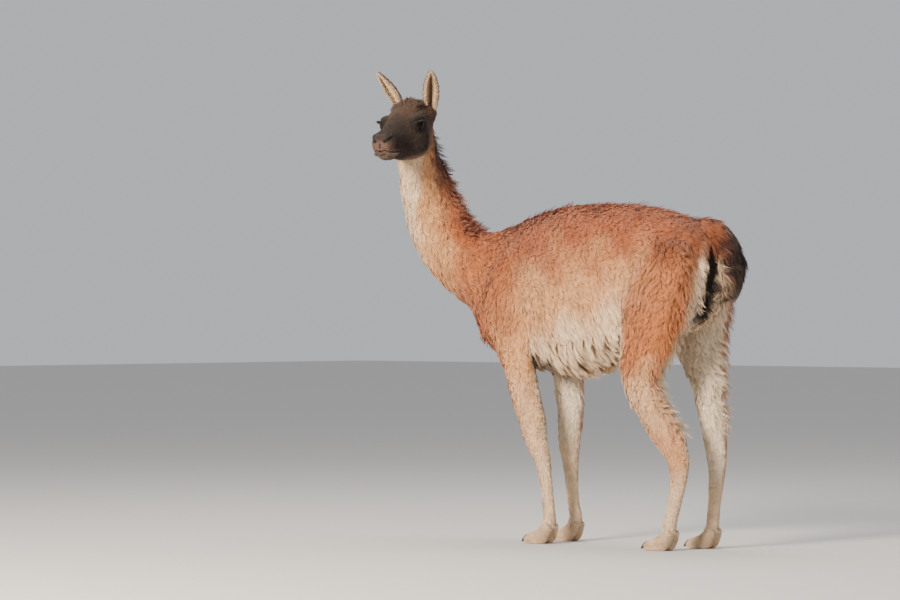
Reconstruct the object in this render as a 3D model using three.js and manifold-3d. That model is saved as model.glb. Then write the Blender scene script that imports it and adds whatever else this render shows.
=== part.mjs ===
// A life-size guanaco standing with its head turned back over its left shoulder.
// Millimetres. +X is the way the body faces, +Y is the animal's left and +Z is up.
import * as THREE from "three";
import { mergeVertices } from "three/addons/utils/BufferGeometryUtils.js";
import Module from "manifold-3d";

const wasm = await Module();
wasm.setup();

// Driving dimensions
const BACK_HEIGHT = 1118; // skin at the highest point of the back
const TRUNK_LENGTH = 1014; // skin, buttock to breast
const HEAD_LENGTH = 300; // nape to nose
const EAR_LENGTH = 150;
const EYE_RADIUS = 20;
const COAT_CORE = 14; // packed wool under the locks of trunk, neck and thigh
const SHORT_COAT = 4; // hair on the face and the lower legs
const PARTING = 0.3; // gap between touching parts

// Heights at which the legs are parted, with the width of the topmost cut and its slope
const FORE_CUTS = { levels: [568, 338, 96], width: 210, tilt: [0, 0, -1] };
const HIND_CUTS = { levels: [655, 345, 96], width: 420, tilt: [-0.42, 0, -1] };
const COLOURS = [
  ["head", "#5a4a40"],
  ["ear", "#8a6a50"],
  ["eye", "#1a1310"],
  ["nail", "#3a3028"],
  ["tail", "#6e4028"],
  ["neck", "#c9966a"],
  ["torso", "#c48a5c"],
  ["upper_leg", "#cc9870"],
  ["", "#dcc09c"],
];

const DEGREE = Math.PI / 180;
const UP = new THREE.Vector3(0, 0, 1);
const LEFT = new THREE.Vector3(0, 1, 0);
const vector = (xyz) => new THREE.Vector3(...xyz);

// Seeded random numbers, the same on each run
let seed = 20811;
function random(low = 0, high = 1) {
  seed = (seed + 0x6d2b79f5) | 0;
  let t = Math.imul(seed ^ (seed >>> 15), 1 | seed);
  t = (t + Math.imul(t ^ (t >>> 7), 61 | t)) ^ t;
  return low + (((t ^ (t >>> 14)) >>> 0) / 4294967296) * (high - low);
}

// A closed geometry as a manifold solid, facing out
function solid(geometry) {
  const bare = geometry.clone();
  bare.deleteAttribute("normal");
  bare.deleteAttribute("uv");
  const merged = mergeVertices(bare, 1e-4);
  const vertProperties = merged.attributes.position.array;
  const triVerts = new Uint32Array(merged.index.array);
  const made = new wasm.Manifold(new wasm.Mesh({ numProp: 3, vertProperties, triVerts }));
  if (made.volume() >= 0) return made;
  for (let i = 0; i < triVerts.length; i += 3) {
    [triVerts[i + 1], triVerts[i + 2]] = [triVerts[i + 2], triVerts[i + 1]];
  }
  return new wasm.Manifold(new wasm.Mesh({ numProp: 3, vertProperties, triVerts }));
}

// A closed tube through rings of equally many points, with a fan over each end
function tubeOfRings(rings) {
  const sides = rings[0].length;
  const points = rings.flat();
  const faces = [];
  for (let i = 0; i + 1 < rings.length; i++) {
    for (let j = 0; j < sides; j++) {
      const [a, b] = [i * sides + j, i * sides + ((j + 1) % sides)];
      faces.push(a, b, b + sides, a, b + sides, a + sides);
    }
  }
  for (const [first, turn] of [[0, -1], [(rings.length - 1) * sides, 1]]) {
    const middle = new THREE.Vector3();
    for (let j = 0; j < sides; j++) middle.add(points[first + j]);
    points.push(middle.divideScalar(sides));
    for (let j = 0; j < sides; j++) {
      const [a, b] = [first + j, first + ((j + 1) % sides)];
      faces.push(...(turn > 0 ? [a, b, points.length - 1] : [b, a, points.length - 1]));
    }
  }
  const geometry = new THREE.BufferGeometry().setFromPoints(points).setIndex(faces);
  return solid(geometry);
}

// A form is a tube of flesh through stations. Each station has a centre and its reach
// up (the back of a neck, the front of a leg), down and to the side. power squares the
// section, and turn swings it about the vertical, in degrees.
function form(stations, coat) {
  const through = (pick) => new THREE.CatmullRomCurve3(stations.map(pick), false, "catmullrom", 0.5);
  const centres = through((s) => vector(s.at));
  const reaches = through((s) => new THREE.Vector3(s.up, s.down ?? s.up, s.side));
  const shapes = through((s) => new THREE.Vector3(s.power ?? 2, s.turn ?? 0, s.coat ?? coat));
  function station(t) {
    const centre = centres.getPoint(t);
    const ahead = centres.getTangent(t);
    const [reach, shape] = [reaches.getPoint(t), shapes.getPoint(t)];
    const side = LEFT.clone().applyAxisAngle(UP, shape.y * DEGREE);
    side.addScaledVector(ahead, -side.dot(ahead)).normalize();
    const up = ahead.clone().cross(side).normalize();
    return { centre, ahead, side, up, reach, power: shape.x, coat: shape.z };
  }
  function point(t, angle, grow = 0) {
    const s = station(t);
    const [c, d] = [Math.cos(angle), Math.sin(angle)];
    const across = Math.sign(c) * Math.abs(c) ** (2 / s.power);
    const along = Math.sign(d) * Math.abs(d) ** (2 / s.power);
    const more = s.coat + grow;
    return s.centre
      .addScaledVector(s.side, across * (s.reach.z + more))
      .addScaledVector(s.up, along * ((d > 0 ? s.reach.x : s.reach.y) + more));
  }
  function normal(t, angle) {
    const [dt, da] = [0.004, 0.02];
    const along = point(Math.min(1, t + dt), angle).sub(point(Math.max(0, t - dt), angle));
    const around = point(t, angle + da).sub(point(t, angle - da));
    return around.cross(along).normalize();
  }
  // The t and angle of the place on the form that lies nearest to a point
  function nearest(p) {
    const steps = 48;
    let [best, least] = [0, Infinity];
    for (let i = 0; i <= steps; i++) {
      const away = centres.getPoint(i / steps).distanceTo(p);
      if (away < least) [best, least] = [i / steps, away];
    }
    for (let i = 0; i < 4; i++) {
      const s = station(best);
      const [before, after] = [Math.max(0, best - 0.01), Math.min(1, best + 0.01)];
      const speed = centres.getPoint(after).distanceTo(centres.getPoint(before));
      best = THREE.MathUtils.clamp(best + (0.012 * p.clone().sub(s.centre).dot(s.ahead)) / speed, 0, 1);
    }
    const s = station(best);
    const offset = p.clone().sub(s.centre);
    const up = offset.dot(s.up);
    const x = offset.dot(s.side) / (s.reach.z + s.coat);
    const y = up / ((up > 0 ? s.reach.x : s.reach.y) + s.coat);
    const overrun = Math.abs(offset.dot(s.ahead));
    return { t: best, angle: Math.atan2(y, x), depth: Math.hypot(x, y), overrun };
  }
  // Whether a point lies inside the form, or within share of its reach
  function holds(p, share = 1) {
    const n = nearest(p);
    return n.depth < share && n.overrun < 25;
  }
  function body(rings, sides, grow = 0, from = 0) {
    const made = [];
    for (let i = 0; i <= rings; i++) {
      const t = from + ((1 - from) * i) / rings;
      made.push(Array.from({ length: sides }, (_, j) => point(t, (j * 2 * Math.PI) / sides, grow)));
    }
    return tubeOfRings(made);
  }
  return { station, point, normal, nearest, holds, body };
}

// Trunk, from the buttocks to the breast. x is the share of the trunk's length.
const TRUNK_FRONT = 636;
const trunkStation = (share, level, top, bottom, side, power = 2.15) => ({
  at: [TRUNK_FRONT - TRUNK_LENGTH * (1 - share), 0, level],
  up: top * BACK_HEIGHT - level,
  down: level - bottom * BACK_HEIGHT,
  side,
  power,
});
const trunk = form(
  [
    trunkStation(0.0, 900, 0.865, 0.76, 32),
    trunkStation(0.035, 900, 0.925, 0.7, 84),
    trunkStation(0.1, 895, 0.952, 0.66, 118),
    trunkStation(0.185, 885, 0.978, 0.63, 136),
    trunkStation(0.3, 868, 0.996, 0.594, 141),
    trunkStation(0.42, 850, 1.0, 0.562, 147),
    trunkStation(0.54, 832, 0.998, 0.54, 146),
    trunkStation(0.66, 822, 0.984, 0.528, 136),
    trunkStation(0.77, 816, 0.958, 0.532, 118),
    trunkStation(0.87, 806, 0.915, 0.545, 100),
    trunkStation(0.955, 772, 0.84, 0.564, 76),
    trunkStation(1.0, 752, 0.745, 0.605, 32),
  ],
  COAT_CORE
);

// Neck, from inside the breast to the nape. It leans forward, bends left and twists.
const HEAD_TURN = 106; // the head faces this far to the left of the body
const HEAD_PITCH = 9; // and this far below level
const NAPE = vector([742, 213, 1381]);
const neck = form(
  [
    { at: [440, 0, 880], up: 150, down: 170, side: 88 },
    { at: [545, 12, 893], up: 140, down: 150, side: 88 },
    { at: [640, 42, 930], up: 112, down: 122, side: 80, turn: 5 },
    { at: [718, 80, 1005], up: 98, down: 108, side: 73, turn: 18 },
    { at: [762, 120, 1098], up: 98, down: 84, side: 67, turn: 40 },
    { at: [772, 152, 1180], up: 96, down: 68, side: 62, turn: 65 },
    { at: [768, 184, 1270], up: 86, down: 58, side: 58, turn: 90 },
    { at: [758, 204, 1340], up: 72, down: 58, side: 56, turn: 102 },
    { at: NAPE.toArray(), up: 54, down: 52, side: 50, turn: HEAD_TURN },
  ],
  COAT_CORE
);

// Legs, from inside the trunk to the fetlock. up is the front of a leg, down its back.
function limb(mirror, rows) {
  const station = ([x, y, z, up, down, side, coat = SHORT_COAT]) => {
    return { at: [x, mirror * y, z], up, down, side, coat };
  };
  const [x, y] = rows.at(-1);
  return form([...rows, [x + 3, y, 70, 17, 20, 20], [x + 18, y, 42, 14, 16, 20]].map(station), SHORT_COAT);
}
const SHOULDER = [
  [385, 62, 960, 52, 58, 34, COAT_CORE],
  [430, 82, 860, 84, 84, 44, COAT_CORE],
  [436, 92, 760, 90, 92, 47, COAT_CORE],
  [408, 102, 660, 66, 70, 43, COAT_CORE],
];
const HIP = [
  [-250, 70, 985, 74, 78, 46, COAT_CORE],
  [-240, 92, 880, 124, 108, 62, COAT_CORE],
  [-216, 108, 770, 128, 106, 63, COAT_CORE],
];
const LEGS = {
  front_left: {
    form: limb(1, [
      ...SHOULDER,
      [380, 104, 590, 50, 52, 41, 9],
      [353, 100, 480, 46, 48, 38],
      [328, 96, 408, 44, 44, 37],
      [314, 92, 342, 38, 34, 32],
      [293, 88, 280, 25, 27, 22],
      [279, 85, 210, 19, 20, 17],
      [273, 82, 144, 17, 19, 16],
      [268, 80, 86, 18, 21, 18],
    ]),
    fetlock: [268, 80],
  },
  front_right: {
    form: limb(-1, [
      ...SHOULDER,
      [355, 104, 590, 52, 54, 41, 9],
      [333, 99, 480, 44, 46, 38],
      [327, 95, 404, 41, 42, 35],
      [328, 92, 337, 37, 34, 32],
      [323, 89, 275, 26, 28, 24],
      [315, 86, 205, 20, 22, 18],
      [304, 82, 136, 17, 19, 16],
      [292, 80, 86, 18, 21, 18],
    ]),
    fetlock: [292, -80],
  },
  hind_left: {
    form: limb(1, [
      ...HIP,
      [-192, 116, 680, 104, 90, 57, COAT_CORE],
      [-165, 116, 600, 80, 68, 50, 11],
      [-160, 114, 540, 64, 58, 44, 8],
      [-190, 110, 470, 54, 50, 39, 6],
      [-228, 106, 405, 50, 50, 36],
      [-268, 102, 350, 46, 50, 33],
      [-287, 100, 315, 37, 44, 29],
      [-297, 98, 270, 30, 35, 25],
      [-293, 96, 220, 24, 27, 21],
      [-268, 92, 130, 20, 22, 18],
      [-255, 90, 86, 18, 21, 18],
    ]),
    fetlock: [-255, 90],
    hind: true,
  },
  hind_right: {
    form: limb(-1, [
      ...HIP,
      [-215, 114, 680, 104, 88, 57, COAT_CORE],
      [-235, 113, 600, 70, 64, 48, 11],
      [-252, 110, 540, 56, 52, 42, 8],
      [-262, 107, 470, 44, 46, 36, 6],
      [-275, 104, 405, 38, 44, 33],
      [-284, 101, 350, 32, 42, 30],
      [-292, 99, 300, 29, 37, 26],
      [-297, 97, 250, 24, 28, 22],
      [-293, 94, 180, 20, 23, 18],
      [-289, 91, 124, 18, 20, 17],
      [-286, 90, 86, 18, 21, 18],
    ]),
    fetlock: [-286, -90],
    hind: true,
  },
};

// Tail, held clear of the buttocks and hanging over the right one
const tail = form(
  [
    { at: [-280, 0, 1030], up: 26, side: 28 },
    { at: [-335, -6, 1030], up: 24, side: 26 },
    { at: [-377, -18, 1000], up: 24, side: 27 },
    { at: [-398, -32, 950], up: 24, side: 28 },
    { at: [-402, -44, 900], up: 21, side: 25 },
    { at: [-399, -50, 856], up: 14, side: 17 },
    { at: [-393, -52, 824], up: 5, side: 7 },
  ],
  8
);
const TAIL_START = 0.24;

// Head, in its own frame: +X towards the nose, +Y its left, +Z up, from the nape
const headTurn = new THREE.Matrix4()
  .makeRotationZ(HEAD_TURN * DEGREE)
  .multiply(new THREE.Matrix4().makeRotationY(HEAD_PITCH * DEGREE));
const headPlace = new THREE.Matrix4().makeTranslation(NAPE).multiply(headTurn);
const headStation = (share, level, up, down, side, power = 2.1) => ({
  at: [share * HEAD_LENGTH - 25, 0, level],
  up,
  down,
  side,
  power,
});
const skull = form(
  [
    headStation(0.0, 5, 50, 50, 38),
    headStation(0.08, 5, 82, 74, 54),
    headStation(0.19, 5, 97, 90, 62),
    headStation(0.31, 5, 92, 98, 72),
    headStation(0.435, 2, 73, 92, 66),
    headStation(0.545, -4, 60, 82, 54),
    headStation(0.655, -8, 51, 72, 44),
    headStation(0.765, -14, 46, 62, 39, 2.2),
    headStation(0.86, -20, 41, 56, 37, 2.3),
    headStation(0.94, -25, 35, 48, 33, 2.3),
    headStation(0.985, -29, 23, 34, 23, 2.2),
    headStation(1.0, -30, 9, 13, 10),
  ],
  SHORT_COAT
);

// A ball scaled to three radii, swung about the vertical by yaw and tipped by roll, in degrees
function ball(at, radii, { yaw = 0, roll = 0, sides = 12 } = {}) {
  const geometry = new THREE.SphereGeometry(1, sides, Math.round(sides * 0.66));
  const swing = new THREE.Euler(roll * DEGREE, 0, yaw * DEGREE, "ZYX");
  const turn = new THREE.Matrix4().makeRotationFromEuler(swing);
  geometry.scale(...radii).applyMatrix4(turn).translate(...at);
  return solid(geometry);
}

// A round tube through points, sunk or raised by where the points lie
function cordOf(points, radius, sides = 6, steps = 14) {
  const path = new THREE.CatmullRomCurve3(points);
  const section = new THREE.Shape().absarc(0, 0, radius, 0, 2 * Math.PI);
  return solid(new THREE.ExtrudeGeometry(section, { extrudePath: path, steps, curveSegments: sides / 2 }));
}

const inWorld = (made) => made.transform(headPlace.elements);
const EYE = { x: 112, y: 60, z: 30, yaw: 64 };
const SKULL_MESH = [18, 16];
const eyeball = (mirror, radius) => ball([EYE.x, mirror * EYE.y, EYE.z], [radius, radius, radius]);

// The lids: a raised rim around each eye, longer than it is high
function lids(mirror) {
  const rim = new THREE.TorusGeometry(EYE_RADIUS * 0.86, 5, 4, 10);
  rim.scale(1.12, 0.8, 1.2);
  const stand = new THREE.Matrix4().makeRotationFromEuler(new THREE.Euler(Math.PI / 2, 0, 0));
  const swing = new THREE.Matrix4().makeRotationZ(mirror * (EYE.yaw - 90) * DEGREE);
  rim.applyMatrix4(stand).applyMatrix4(swing);
  const out = vector([Math.cos(EYE.yaw * DEGREE), mirror * Math.sin(EYE.yaw * DEGREE), 0.05]);
  rim.translate(EYE.x + out.x * 9.5, mirror * EYE.y + out.y * 9.5, EYE.z + 0.5);
  return solid(rim);
}

// Points of the skull's surface at a share of its length and an angle, 0 at the left side
const onSkull = (share, degrees, grow = 0) => skull.point(share, degrees * DEGREE, grow);
function mouthLine(lift) {
  const side = [0.72, 0.79, 0.86, 0.93, 0.975].map((share, i) => onSkull(share, -26 + i * 1.5 + lift, 0.4));
  const front = vector([HEAD_LENGTH - 22, 0, -40 + lift * 0.7]);
  const right = side.map((p) => new THREE.Vector3(p.x, -p.y, p.z)).reverse();
  return [...side, front, ...right];
}
function headSolid() {
  const parts = [skull.body(...SKULL_MESH)];
  const cuts = [cordOf(mouthLine(0), 1.9, 4, 8)];
  parts.push(cordOf(mouthLine(9), 4.2, 4, 8), cordOf(mouthLine(-9), 3.8, 4, 8));
  for (const mirror of [1, -1]) {
    parts.push(ball([EYE.x - 2, mirror * (EYE.y - 9), EYE.z], [31, 24, 24], { sides: 8 }));
    parts.push(ball([EYE.x, mirror * (EYE.y - 2), EYE.z + 19], [25, 13, 9], { yaw: mirror * -16, sides: 7 }));
    parts.push(ball([HEAD_LENGTH - 47, mirror * 17, 0], [21, 14, 14], { yaw: mirror * 12, sides: 8 }));
    parts.push(lids(mirror));
    const slant = { yaw: mirror * -38, roll: mirror * 24, sides: 8 };
    cuts.push(ball([HEAD_LENGTH - 37, mirror * 27, -1], [12, 4, 5.5], slant));
    cuts.push(eyeball(mirror, EYE_RADIUS + PARTING));
  }
  const cleft = cordOf([vector([HEAD_LENGTH - 26, 0, -8]), vector([HEAD_LENGTH - 21, 0, -36])], 1.6, 4, 3);
  return inWorld(wasm.Manifold.union(parts).subtract(wasm.Manifold.union([...cuts, cleft])));
}

// Ears: a spear-shaped shell with a deep cup that opens forward and a little outward
const EAR = { x: 2, y: 57, z: 72, ahead: 0.5, out: 0.34, face: 25 };
function earForm(scale, shift) {
  const reach = [0.12, 0.15, 0.176, 0.182, 0.168, 0.135, 0.085, 0.018];
  return form(
    reach.map((share, i) => {
      const [k, rise] = [share * EAR_LENGTH * scale, i / (reach.length - 1)];
      const bow = shift + Math.sin(rise * Math.PI) * 5;
      return { at: [-bow, 0, rise * EAR_LENGTH], up: k * 0.62, down: k * 0.62, side: k, turn: 0 };
    }),
    0
  );
}
function ear(mirror) {
  const shell = earForm(1, 0).body(10, 10);
  const cup = earForm(0.8, -6.5).body(8, 8).translate([0, 0, 7]);
  const reach = Math.hypot(EAR.ahead, EAR.out, 1);
  const rise = new THREE.Vector3(EAR.ahead, mirror * EAR.out, 1).divideScalar(reach);
  const face = new THREE.Vector3(Math.cos(EAR.face * DEGREE), mirror * Math.sin(EAR.face * DEGREE), 0);
  face.addScaledVector(rise, -face.dot(rise)).normalize();
  const place = new THREE.Matrix4().makeBasis(face, rise.clone().cross(face), rise);
  place.setPosition(EAR.x, mirror * EAR.y, EAR.z);
  return inWorld(shell.subtract(cup).transform(place.elements));
}

// Feet: two padded toes under the pastern, with a nail on each. Stations run along a toe
// from the pastern, in shares of its length, and the pads end in flats on the floor.
const TOE = { length: 62, apart: 17, spread: 9, pad: 5 };
function toeForm(leg, mirror, stations) {
  const [x, y] = leg.fetlock;
  const spread = mirror * TOE.spread * DEGREE;
  return form(
    stations.map(([share, z, up, down, side]) => {
      const run = share * TOE.length;
      const sideways = mirror * TOE.apart + run * Math.sin(spread);
      return { at: [x + 14 + run * Math.cos(spread), y + sideways, z], up, down, side };
    }),
    0
  );
}
function toe(leg, mirror) {
  return toeForm(leg, mirror, [
    [-0.42, 62, 20, 12, 14],
    [-0.15, 42, 20, 22, 17],
    [0.2, 24, 22, 24 + TOE.pad, 19],
    [0.6, 18, 18, 18 + TOE.pad, 18.5],
    [0.95, 14, 12, 13 + TOE.pad, 15],
    [1.1, 11, 5, 8, 7],
  ]).body(5, 6);
}
function nail(leg, mirror, grow = 0) {
  return toeForm(leg, mirror, [
    [0.72 - grow / 60, 27, 3 + grow, 3 + grow, 5 + grow],
    [0.98, 22, 8 + grow, 7 + grow, 8 + grow],
    [1.2, 12, 6 + grow, 5 + grow, 6 + grow],
    [1.32 + grow / 60, 6, 2 + grow, 2 + grow, 2.5 + grow],
  ]).body(3, 5);
}

// A flat, tapered lock. It leaves the skin at its root, lifts, and follows the lie of the coat.
const LOCK_RINGS = [
  { along: 0, out: -0.75, wide: 0.62, thick: 1 },
  { along: 0.38, out: 0.55, wide: 1, thick: 0.85 },
  { along: 0.74, out: 1, wide: 0.7, thick: 0.6 },
];
function lock(on, t, angle, lie, { length, width, thick, lift, grow = 0 }) {
  let [root, normal] = [on.point(t, angle), on.normal(t, angle)];
  const rings = [];
  let travelled = 0;
  for (const ring of [...LOCK_RINGS, { along: 1, out: 0.8, wide: 0, thick: 0 }]) {
    const step = (ring.along - travelled) * length;
    travelled = ring.along;
    const way = lie(root, normal);
    way.addScaledVector(normal, -way.dot(normal)).normalize();
    if (step > 0) {
      const place = on.nearest(root.clone().addScaledVector(way, step));
      const beyond = place.t >= 0.995 || place.t <= 0.005;
      root = beyond ? root.clone().addScaledVector(way, step) : on.point(place.t, place.angle);
      if (!beyond) normal = on.normal(place.t, place.angle);
    }
    const middle = root.clone().addScaledVector(normal, ring.out * (ring.out > 0 ? lift : thick));
    const across = normal.clone().cross(way).normalize();
    const [w, h] = [ring.wide * width, ring.thick * thick].map((size) => size / 2 + grow);
    rings.push({ middle, across, normal: normal.clone(), w, h });
  }
  const tip = rings.pop().middle;
  const points = rings.flatMap(({ middle, across, normal: n, w, h }) => [
    middle.clone().addScaledVector(across, w),
    middle.clone().addScaledVector(n, h),
    middle.clone().addScaledVector(across, -w),
    middle.clone().addScaledVector(n, -h),
  ]);
  points.push(tip);
  const faces = [0, 2, 1, 0, 3, 2];
  for (let i = 0; i + 1 < rings.length; i++) {
    for (let j = 0; j < 4; j++) {
      const [a, b] = [i * 4 + j, i * 4 + ((j + 1) % 4)];
      faces.push(a, b, b + 4, a, b + 4, a + 4);
    }
  }
  const last = (rings.length - 1) * 4;
  for (let j = 0; j < 4; j++) faces.push(last + j, last + ((j + 1) % 4), points.length - 1);
  return solid(new THREE.BufferGeometry().setFromPoints(points).setIndex(faces));
}

// Locks over a stretch of a form, in staggered rows spacing apart, but not inside its neighbours
function coat(on, { from, to, angles = [-180, 180], spacing, lie, size, clear = [] }) {
  const locks = [];
  const steps = 200;
  let [travelled, row] = [spacing, 0];
  for (let i = 0; i <= steps; i++) {
    const t = THREE.MathUtils.lerp(from, to, i / steps);
    const next = THREE.MathUtils.lerp(from, to, (i + 1) / steps);
    travelled += on.station(t).centre.distanceTo(on.station(next).centre);
    if (travelled < spacing) continue;
    travelled = 0;
    row++;
    const { reach, coat: depth } = on.station(t);
    const girth = Math.PI * (reach.z + (reach.x + reach.y) / 2 + 2 * depth) * ((angles[1] - angles[0]) / 360);
    const count = Math.max(1, Math.round(girth / spacing));
    for (let k = 0; k < count; k++) {
      const place = (k + (row % 2 ? 0.25 : 0.75) + random(-0.12, 0.12)) / count;
      const angle = THREE.MathUtils.lerp(...angles, place) * DEGREE;
      const root = on.point(t, angle);
      const variety = random(0.85, 1.15);
      const wanted = size(root, on.normal(t, angle));
      if (!wanted || clear.some((other) => other.holds(root, 1.06))) continue;
      locks.push(lock(on, t, angle, lie, { ...wanted, length: wanted.length * variety }));
    }
  }
  return locks;
}

// The lie of the coat: back and down over the trunk, down the neck, down and back on the thigh
const lieOf = (x, y, z) => () => vector([x, y, z]);
const trunkLie = () => vector([-0.62, 0, -0.78]);
const neckLie = (p) => {
  const s = neck.station(neck.nearest(p).t);
  return s.ahead.negate().addScaledVector(s.up, 0.35);
};
const tailLie = (p) => tail.station(tail.nearest(p).t).ahead;
const locks = [
  ...coat(trunk, {
    from: 0.93,
    to: 0.05,
    spacing: 126,
    lie: trunkLie,
    clear: [neck, tail, ...Object.values(LEGS).map((leg) => leg.form)],
    size: (p, n) => {
      const belly = n.z < -0.55;
      if (belly && Math.abs(p.x - 60) > 170) return null;
      if (belly) return { length: 104, width: 74, thick: 15, lift: 22 };
      const back = n.z > 0.75;
      return { length: back ? 116 : 150, width: back ? 66 : 92, thick: 16, lift: back ? 15 : 21 };
    },
  }),
  ...coat(neck, {
    from: 0.34,
    to: 0.86,
    spacing: 100,
    lie: neckLie,
    clear: [trunk],
    size: () => ({ length: 104, width: 64, thick: 12, lift: 13 }),
  }),
  ...coat(neck, {
    from: 0.36,
    to: 0.92,
    angles: [76, 104],
    spacing: 40,
    lie: neckLie,
    clear: [trunk],
    size: () => ({ length: 72, width: 34, thick: 11, lift: 30 }),
  }),
];
for (const leg of Object.values(LEGS)) {
  const outer = leg.fetlock[1] > 0 ? [-122, 76] : [104, 302];
  locks.push(
    ...coat(leg.form, {
      from: 0.08,
      to: leg.hind ? 0.4 : 0.2,
      angles: outer,
      spacing: 84,
      lie: lieOf(-0.4, 0, -0.9),
      clear: [trunk, tail],
      size: () => ({ length: 92, width: 74, thick: 19, lift: 13 }),
    })
  );
}
function tailLocks(grow) {
  seed = 417;
  return coat(tail, {
    from: 0.3,
    to: 0.9,
    angles: [-172, -8],
    spacing: 36,
    lie: tailLie,
    size: () => ({ length: 82, width: 36, thick: 10, lift: 16, grow }),
  });
}

// Thin cuts that part the whole into nodes: a slab across a form where it passes a height,
// or at a share of its length, square to the form unless it is tilted
function levelOf(on, height) {
  const low = Array.from({ length: 201 }, (_, i) => i / 200).find((t) => on.station(t).centre.z <= height);
  return low ?? 1;
}
function parting(on, t, width, tilt) {
  const { centre, ahead, side } = on.station(t);
  const away = tilt ? vector(tilt).normalize() : ahead;
  const turn = new THREE.Matrix4().makeBasis(side, away.clone().cross(side).normalize(), away);
  const slab = new THREE.BoxGeometry(width, width, PARTING).applyMatrix4(turn);
  return solid(slab.translate(...centre.toArray()));
}
const partings = [parting(neck, 0.3, 460)];
const seeds = {
  neck: neck.station(0.6).centre,
  torso: trunk.station(0.5).centre,
};
for (const [name, leg] of Object.entries(LEGS)) {
  const cuts = leg.hind ? HIND_CUTS : FORE_CUTS;
  const [top, middle, foot] = cuts.levels.map((height) => levelOf(leg.form, height));
  partings.push(parting(leg.form, top, cuts.width, cuts.tilt));
  partings.push(parting(leg.form, middle, 150), parting(leg.form, foot, 100));
  seeds[`${name}_upper_leg`] = leg.form.station((top + middle) / 2).centre;
  seeds[`${name}_lower_leg`] = leg.form.station((middle + foot) / 2).centre;
  seeds[`${name}_foot`] = vector([leg.fetlock[0] + 10, leg.fetlock[1], 60]);
}

const flesh = wasm.Manifold.union([
  trunk.body(20, 16),
  neck.body(16, 16),
  tail.body(8, 10),
  ...Object.values(LEGS).flatMap((leg) => [leg.form.body(20, 10), toe(leg, 1), toe(leg, -1)]),
  ...locks,
]);
const skullRoom = skull.body(...SKULL_MESH, PARTING);
const headRoom = inWorld(skullRoom.add(skullRoom.translate([-PARTING, 0, 0])));
const tailRoom = wasm.Manifold.union([tail.body(8, 10, PARTING, TAIL_START - 0.0015), ...tailLocks(PARTING)]);
const aboveFloor = flesh.subtract(headRoom).subtract(tailRoom).trimByPlane([0, 0, 1], 0);
const nails = {};
for (const [name, leg] of Object.entries(LEGS)) {
  nails[`${name}_outer_nail`] = nail(leg, Math.sign(leg.fetlock[1]));
  nails[`${name}_inner_nail`] = nail(leg, -Math.sign(leg.fetlock[1]));
}
const nailRoom = Object.values(LEGS).flatMap((leg) => [nail(leg, 1, PARTING), nail(leg, -1, PARTING)]);
const parted = aboveFloor.subtract(wasm.Manifold.union([...partings, ...nailRoom]));
const pieces = parted.decompose().filter((piece) => piece.volume() > 2e4);
const nodes = {};
for (const [name, seedPoint] of Object.entries(seeds)) {
  const probe = ball(seedPoint.toArray(), [2, 2, 2], { sides: 6 });
  nodes[name] = pieces.find((piece) => piece.intersect(probe).volume() > 1);
  if (!nodes[name]) throw new Error(`no piece holds the middle of ${name}`);
}
nodes.head = headSolid();
nodes.tail = wasm.Manifold.union([tail.body(8, 10, 0, TAIL_START), ...tailLocks(0)]);
Object.assign(nodes, nails);
for (const [name, mirror] of [["left", 1], ["right", -1]]) {
  nodes[`${name}_eye`] = inWorld(eyeball(mirror, EYE_RADIUS));
  nodes[`${name}_ear`] = ear(mirror).subtract(headRoom);
}

// Each node keeps its largest closed surface, in the frame that stands on the floor's middle
const largest = (made) => made.decompose().sort((a, b) => b.volume() - a.volume())[0];
const box = new THREE.Box3();
for (const made of Object.values(nodes)) {
  const { min, max } = made.boundingBox();
  box.expandByPoint(vector(min)).expandByPoint(vector(max));
}
const middle = box.getCenter(new THREE.Vector3());

const group = new THREE.Group();
group.name = "guanaco";
for (const [name, made] of Object.entries(nodes)) {
  const placed = largest(made).translate([-middle.x, -middle.y, -box.min.z]);
  const { vertProperties, triVerts, numProp } = placed.getMesh();
  const positions = new THREE.BufferAttribute(new Float32Array(vertProperties), numProp);
  const geometry = new THREE.BufferGeometry().setAttribute("position", positions);
  geometry.setIndex(Array.from(triVerts));
  const colour = COLOURS.find(([part]) => name.includes(part))[1];
  const mesh = new THREE.Mesh(geometry, new THREE.MeshStandardMaterial({ color: colour, roughness: 0.9 }));
  mesh.name = name;
  group.add(mesh);
}
export default group;
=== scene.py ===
import math

import bmesh
import bpy
import numpy as np
from mathutils import Matrix, Vector, kdtree


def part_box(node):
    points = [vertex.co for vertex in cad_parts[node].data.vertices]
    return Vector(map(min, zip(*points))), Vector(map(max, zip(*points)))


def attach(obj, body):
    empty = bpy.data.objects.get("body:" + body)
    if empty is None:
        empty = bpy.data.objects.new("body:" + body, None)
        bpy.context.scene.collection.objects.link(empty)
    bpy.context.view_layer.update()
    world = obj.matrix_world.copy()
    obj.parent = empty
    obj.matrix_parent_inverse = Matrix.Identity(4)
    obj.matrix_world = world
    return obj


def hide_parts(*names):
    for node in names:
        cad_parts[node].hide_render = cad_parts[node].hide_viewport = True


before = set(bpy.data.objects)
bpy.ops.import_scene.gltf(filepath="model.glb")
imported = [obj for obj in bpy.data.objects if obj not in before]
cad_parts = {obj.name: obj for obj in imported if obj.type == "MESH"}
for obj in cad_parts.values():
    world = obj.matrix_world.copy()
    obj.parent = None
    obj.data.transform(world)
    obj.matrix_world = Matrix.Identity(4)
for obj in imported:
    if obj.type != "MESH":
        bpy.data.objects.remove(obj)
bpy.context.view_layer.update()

# The animal's own coordinates. Its stations are given in millimetres from the
# middle of its four feet, and the left eye tells where that lies in the frame.
NAPE = np.array([742.0, 213.0, 1381.0])
HEAD_TURN, HEAD_PITCH, HEAD_LENGTH = math.radians(106), math.radians(9), 300
EYE, EYE_RADIUS = np.array([112.0, 60.0, 30.0]), 20.0

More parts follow.
